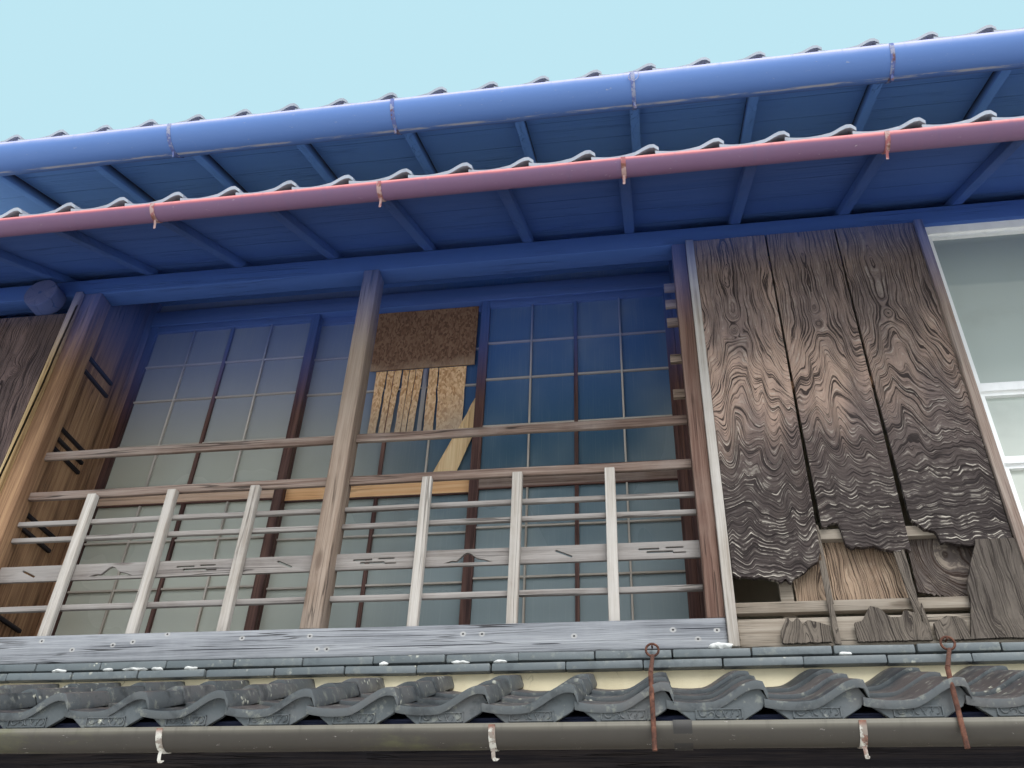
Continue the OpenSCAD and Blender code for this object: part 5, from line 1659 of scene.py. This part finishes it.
def strap_metal(name):
    """A strap has the paint of its gutter, which its height tells, worn to white and to rust."""
    finish = Finish(name)
    place = finish.place()
    height = place.part(2)
    paint = finish.mix(height > LOW_STRAPS, tint(148, 136, 126), tint(160, 98, 100))
    paint = finish.mix(height > PENT_STRAPS, paint, tint(104, 116, 170))
    wear = finish.cloud(place, 30, detail=5, rough=0.65)
    scale = finish.cloud(place, 75, detail=4, rough=0.7)
    rust = finish.shades(scale, (0.3, tint(84, 54, 46)), (0.7, tint(150, 98, 78)))
    white = 0.85 - (height > LOW_STRAPS) * 0.5
    colour = finish.mix(finish.fade(wear, 0.46, 0.54) * white, paint, tint(214, 210, 200))
    lip = finish.fade(height, LOW_LIP - 0.024, LOW_LIP - 0.006) * finish.fade(height, 2.6, 2.5)
    colour = finish.mix(lip * 0.9, colour, rust)
    colour = finish.mix(finish.fade(finish.cloud(place, 19, detail=4), 0.58, 0.64) * 0.8, colour, rust)
    return finish.apply(colour=colour, rough=0.75, normal=finish.bump(scale + wear, 0.0012), gloss=0.3)


def aluminium(name):
    finish = Finish(name)
    place = finish.place()
    grime = finish.cloud(place.stretch(6, 6, 2), detail=5, rough=0.65)
    colour = finish.mix(finish.fade(grime, 0.48, 0.80) * 0.4, tint(242, 242, 240), tint(190, 190, 186))
    return finish.apply(colour=colour, rough=0.42, normal=finish.bump(grime, 0.0006), gloss=0.5)


LOW_LIP = street_box("low_gutter")[1].z
# The third colour of each paint is its dirt, which also paints the shade on its underside
TAUPE_METAL = painted_metal("taupe_metal", tint(90, 84, 75), tint(124, 118, 106), tint(64, 58, 52), 0.7,
                            lichen=0.4)
RED_METAL = painted_metal("red_metal", tint(186, 88, 94), tint(230, 150, 148), tint(104, 86, 118), 0.8)
# Partly painted haze: the blue paint is lighter and bluer than the gutter's own paint
BLUE_METAL = painted_metal("blue_metal", tint(110, 142, 200), tint(190, 186, 214), tint(96, 130, 192), 0.9,
                           dusty=0.85)
SLEEVE_METAL = painted_metal("sleeve_metal", tint(72, 68, 66), tint(100, 96, 92), tint(48, 44, 42), 0.5)
STRAP_METAL = strap_metal("strap_metal")
RUSTY_IRON = rusty_iron("rusty_iron")
ALUMINIUM = aluminium("aluminium")


CURVED = math.radians(40)


def smooth_copy(node, material):
    finish_piece(node + "_painted", solids_of(node), material, [node], smooth=CURVED)


smooth_copy("low_gutter", TAUPE_METAL)
smooth_copy("pent_gutter", RED_METAL)
smooth_copy("main_gutters", BLUE_METAL)

# %% [markdown]
# The straps that carry a gutter end in a loose tail below it, bent as the plumber left it: long and hooked
# under the low gutter, short under the other two. A dark sleeve covers a joint of the low gutter, and a
# loop of pale wire hangs over the lip of the blue one.

# %% Strap tails, sleeve and wire
# Each row of straps: one X and the spacing, then the tail's X shift, Y and Z, point by point
TAIL_ROWS = [
    (0.811, 0.944, [(0, -0.652, 2.367), (0.002, -0.656, 2.352), (0.004, -0.655, 2.338),
                    (0.009, -0.651, 2.332), (0.017, -0.646, 2.338)]),
    (0.260, 0.980, [(0, -0.738, 4.498), (-0.002, -0.728, 4.482), (-0.004, -0.722, 4.462)]),
    (0.180, 1.120, [(0, -0.524, 5.240), (0.002, -0.516, 5.226), (0.006, -0.510, 5.214)]),
]
SLEEVE_X = (1.286, 1.334)
SLEEVE_GROWTH = 0.0022
WIRE_X = 1.305


def make_tails():
    wall_low, wall_high = street_box("low_gutter")
    bm = bmesh.new()
    for one, spacing, points in TAIL_ROWS:
        first = one - spacing * math.floor((one - wall_low.x - 0.05) / spacing)
        for i in range(int((wall_high.x - 0.05 - first) / spacing) + 1):
            x = first + i * spacing
            lean = rng.uniform(-0.3, 1.2)
            ribbon(bm, [(x + shift * lean, y, z) for shift, y, z in points], (0.010, 0, 0), 0.0025)
    bmesh.ops.recalc_face_normals(bm, faces=bm.faces)
    finish_piece("strap_tails", bm, STRAP_METAL)


def make_sleeve():
    low, high = street_box("low_gutter")
    radius = high.z - low.z + SLEEVE_GROWTH
    middle = Vector((sum(SLEEVE_X) / 2, low.y + high.z - low.z, high.z))
    across = Matrix.Translation(middle) @ Matrix.Rotation(math.radians(90), 4, "Y")
    bm = bmesh.new()
    bmesh.ops.create_cone(bm, cap_ends=False, segments=64, radius1=radius, radius2=radius,
                          depth=SLEEVE_X[1] - SLEEVE_X[0], matrix=across)
    geometry = bm.verts[:] + bm.edges[:] + bm.faces[:]
    bmesh.ops.bisect_plane(bm, geom=geometry, dist=WELD, plane_co=middle, plane_no=(0, 0, 1),
                           clear_outer=True)
    bmesh.ops.recalc_face_normals(bm, faces=bm.faces)
    bmesh.ops.solidify(bm, geom=bm.faces[:], thickness=SLEEVE_GROWTH)
    finish_piece("gutter_sleeve", bm, SLEEVE_METAL, smooth=CURVED)


def make_wire():
    low, high = street_box("main_gutters")
    bm = bmesh.new()
    curl(bm, Vector((0, 0, 0)), 0.022, 0, math.tau, wire=0.0016, steps=24)
    bmesh.ops.remove_doubles(bm, verts=bm.verts, dist=WELD)
    at = block((WIRE_X, low.y + 0.001, high.z - 0.032), (1, 1, 1.6), Matrix.Rotation(0.25, 4, "Y"))
    bmesh.ops.transform(bm, matrix=at, verts=bm.verts)
    finish_piece("wire_loop", bm, STRAP_METAL, smooth=math.radians(60))


make_tails()
make_sleeve()
make_wire()

# %% [markdown]
# Glass this old is wavy and dusty. It looks dark because the rooms behind it are, and that is painted into
# its body colour, a painted shade, olive in the left-hand door and teal towards the right, and it lets little
# of the view through. Rain has left fine upright streaks, and a pale film lies on it that is thicker towards
# the foot: dust, and partly painted light, as the top lies in the eave's shade.

# %% Glass finishes
# Painted shade and haze thicken on the glass between these heights
GLASS_SHADE_HAZE = (3.9, 4.95)
# Where the sheet behind the frosted glass ends
FROSTED_STEP = 4.47
# Where the left-hand colour has begun to turn into the right-hand one, and where it ends
LEFT_COLOUR_TO, RIGHT_COLOUR_FROM = -0.6, 0.5


def old_glass(name, left, right, film, clear=0.12, dusty=0.5, film_z=(4.4, 3.2)):
    finish = Finish(name)
    place = finish.place()
    across = finish.fade(place.part(0), LEFT_COLOUR_TO + STREET.x, RIGHT_COLOUR_FROM + STREET.x)
    # Painted shade: the body colour stands for the dark rooms behind the glass
    body = finish.mix(across, left, right)
    # Painted shade and haze: the glass is mixed towards blue-black near the eaves
    body = finish.mix(finish.fade(place.part(2), *GLASS_SHADE_HAZE) * 0.75, body, SHADE_HAZE)
    rain = finish.cloud(place.stretch(150, 150, 3), detail=4, rough=0.6)
    soft = finish.cloud(place.stretch(1.5, 1.5, 1.1), detail=3, rough=0.5)
    # The film is dust; its thickening towards the foot is partly painted light, as the top lies in the eave's
    # shade
    low = finish.fade(place.part(2), *film_z)
    haze = finish.fade(soft + low * 0.30, 0.42, 0.86)
    streak = finish.fade(rain, 0.50, 0.78)
    colour = finish.mix(haze * dusty + streak * 0.08, body, film)
    wavy = finish.cloud(place, 5, detail=2)
    alpha = haze * (clear * 0.6) + (1 - clear)
    return finish.apply(colour=colour, rough=haze * 0.25 + 0.08, alpha=alpha,
                        normal=finish.bump(wavy, 0.004), gloss=0.5)


def frosted_glass(name):
    """Darker towards the top, a painted shade under the eave, with a sheet of something pale behind its lower
    part.
    """
    finish = Finish(name)
    place = finish.place()
    stain = finish.cloud(place.stretch(2, 2, 3), detail=5, rough=0.6)
    slope = place.part(2) + stain * 0.03
    # Painted shade: the glass is darker towards the top and paler towards the foot
    colour = finish.mix(finish.fade(slope, 4.80, 4.50), tint(128, 138, 142), tint(158, 168, 164))
    sheet = finish.fade(slope, FROSTED_STEP + 0.01, FROSTED_STEP - 0.01)
    colour = finish.mix(sheet * 0.8, colour, tint(178, 186, 178))
    colour = finish.mix(finish.fade(slope, 4.1, 3.2), colour, tint(198, 200, 188))
    colour = finish.mix(finish.fade(stain, 0.55, 0.70) * 0.25, colour, tint(150, 154, 146))
    grain = finish.cloud(place, 400, detail=2)
    return finish.apply(colour=colour, rough=0.42, normal=finish.bump(grain, 0.0004), gloss=0.5)


DOOR_GLASS = old_glass("door_glass", tint(176, 174, 158), tint(64, 92, 110), tint(186, 192, 184), dusty=0.4)
SHOP_GLASS = old_glass("shop_glass", tint(62, 70, 70), tint(54, 64, 68), tint(150, 160, 160), clear=0.2,
                       dusty=0.25, film_z=(2.4, 0.4))
FROSTED_GLASS = frosted_glass("frosted_glass")
print("glass ready")

# %% [markdown]
# What is left keeps the shape that it has, since it is flat or lies in shade: it only needs a finish. The
# soffits and floors take theirs from the place alone, and show boards side by side. The ground-floor doors
# and the rear sashes are timber like the rest, so they get rounded edges and a grain.

# %% Remaining pieces
def coat(node, material):
    """Gives a solid that keeps its own shape a finish."""
    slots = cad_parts[node].data.materials
    slots.clear()
    slots.append(material)


weathered_copy("ground_doors", WOOD["joinery"], 0.002, shake=0.0004)
weathered_copy("rear_windows", WOOD["joinery"], 0.002, shake=0.0004)
COATS = {
    "door_glass": DOOR_GLASS, "ground_glass": SHOP_GLASS, "rear_glass": SHOP_GLASS,
    "side_window_glass": FROSTED_GLASS, "side_window_frame": ALUMINIUM, "gutter_straps": STRAP_METAL,
    "iron_hooks": RUSTY_IRON, "plaster_band": CREAM_PLASTER, "party_wall_left": WALL_PLASTER,
    "party_wall_right": WALL_PLASTER, "upper_wall_panels": WALL_PLASTER,
    "ground_wall_panels": WALL_PLASTER, "foundation_stones": GRANITE, "low_deck": WOOD["soffit"],
    "pent_deck": WOOD["soffit"], "main_deck": WOOD["high_soffit"], "upper_floor": WOOD["floor"],
    "ground_floor": WOOD["floor"],
}
for node, material in COATS.items():
    coat(node, material)
finished = set(COATS) | {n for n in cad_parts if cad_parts[n].hide_render}
print("nodes without a finish:", sorted(set(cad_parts) - finished))
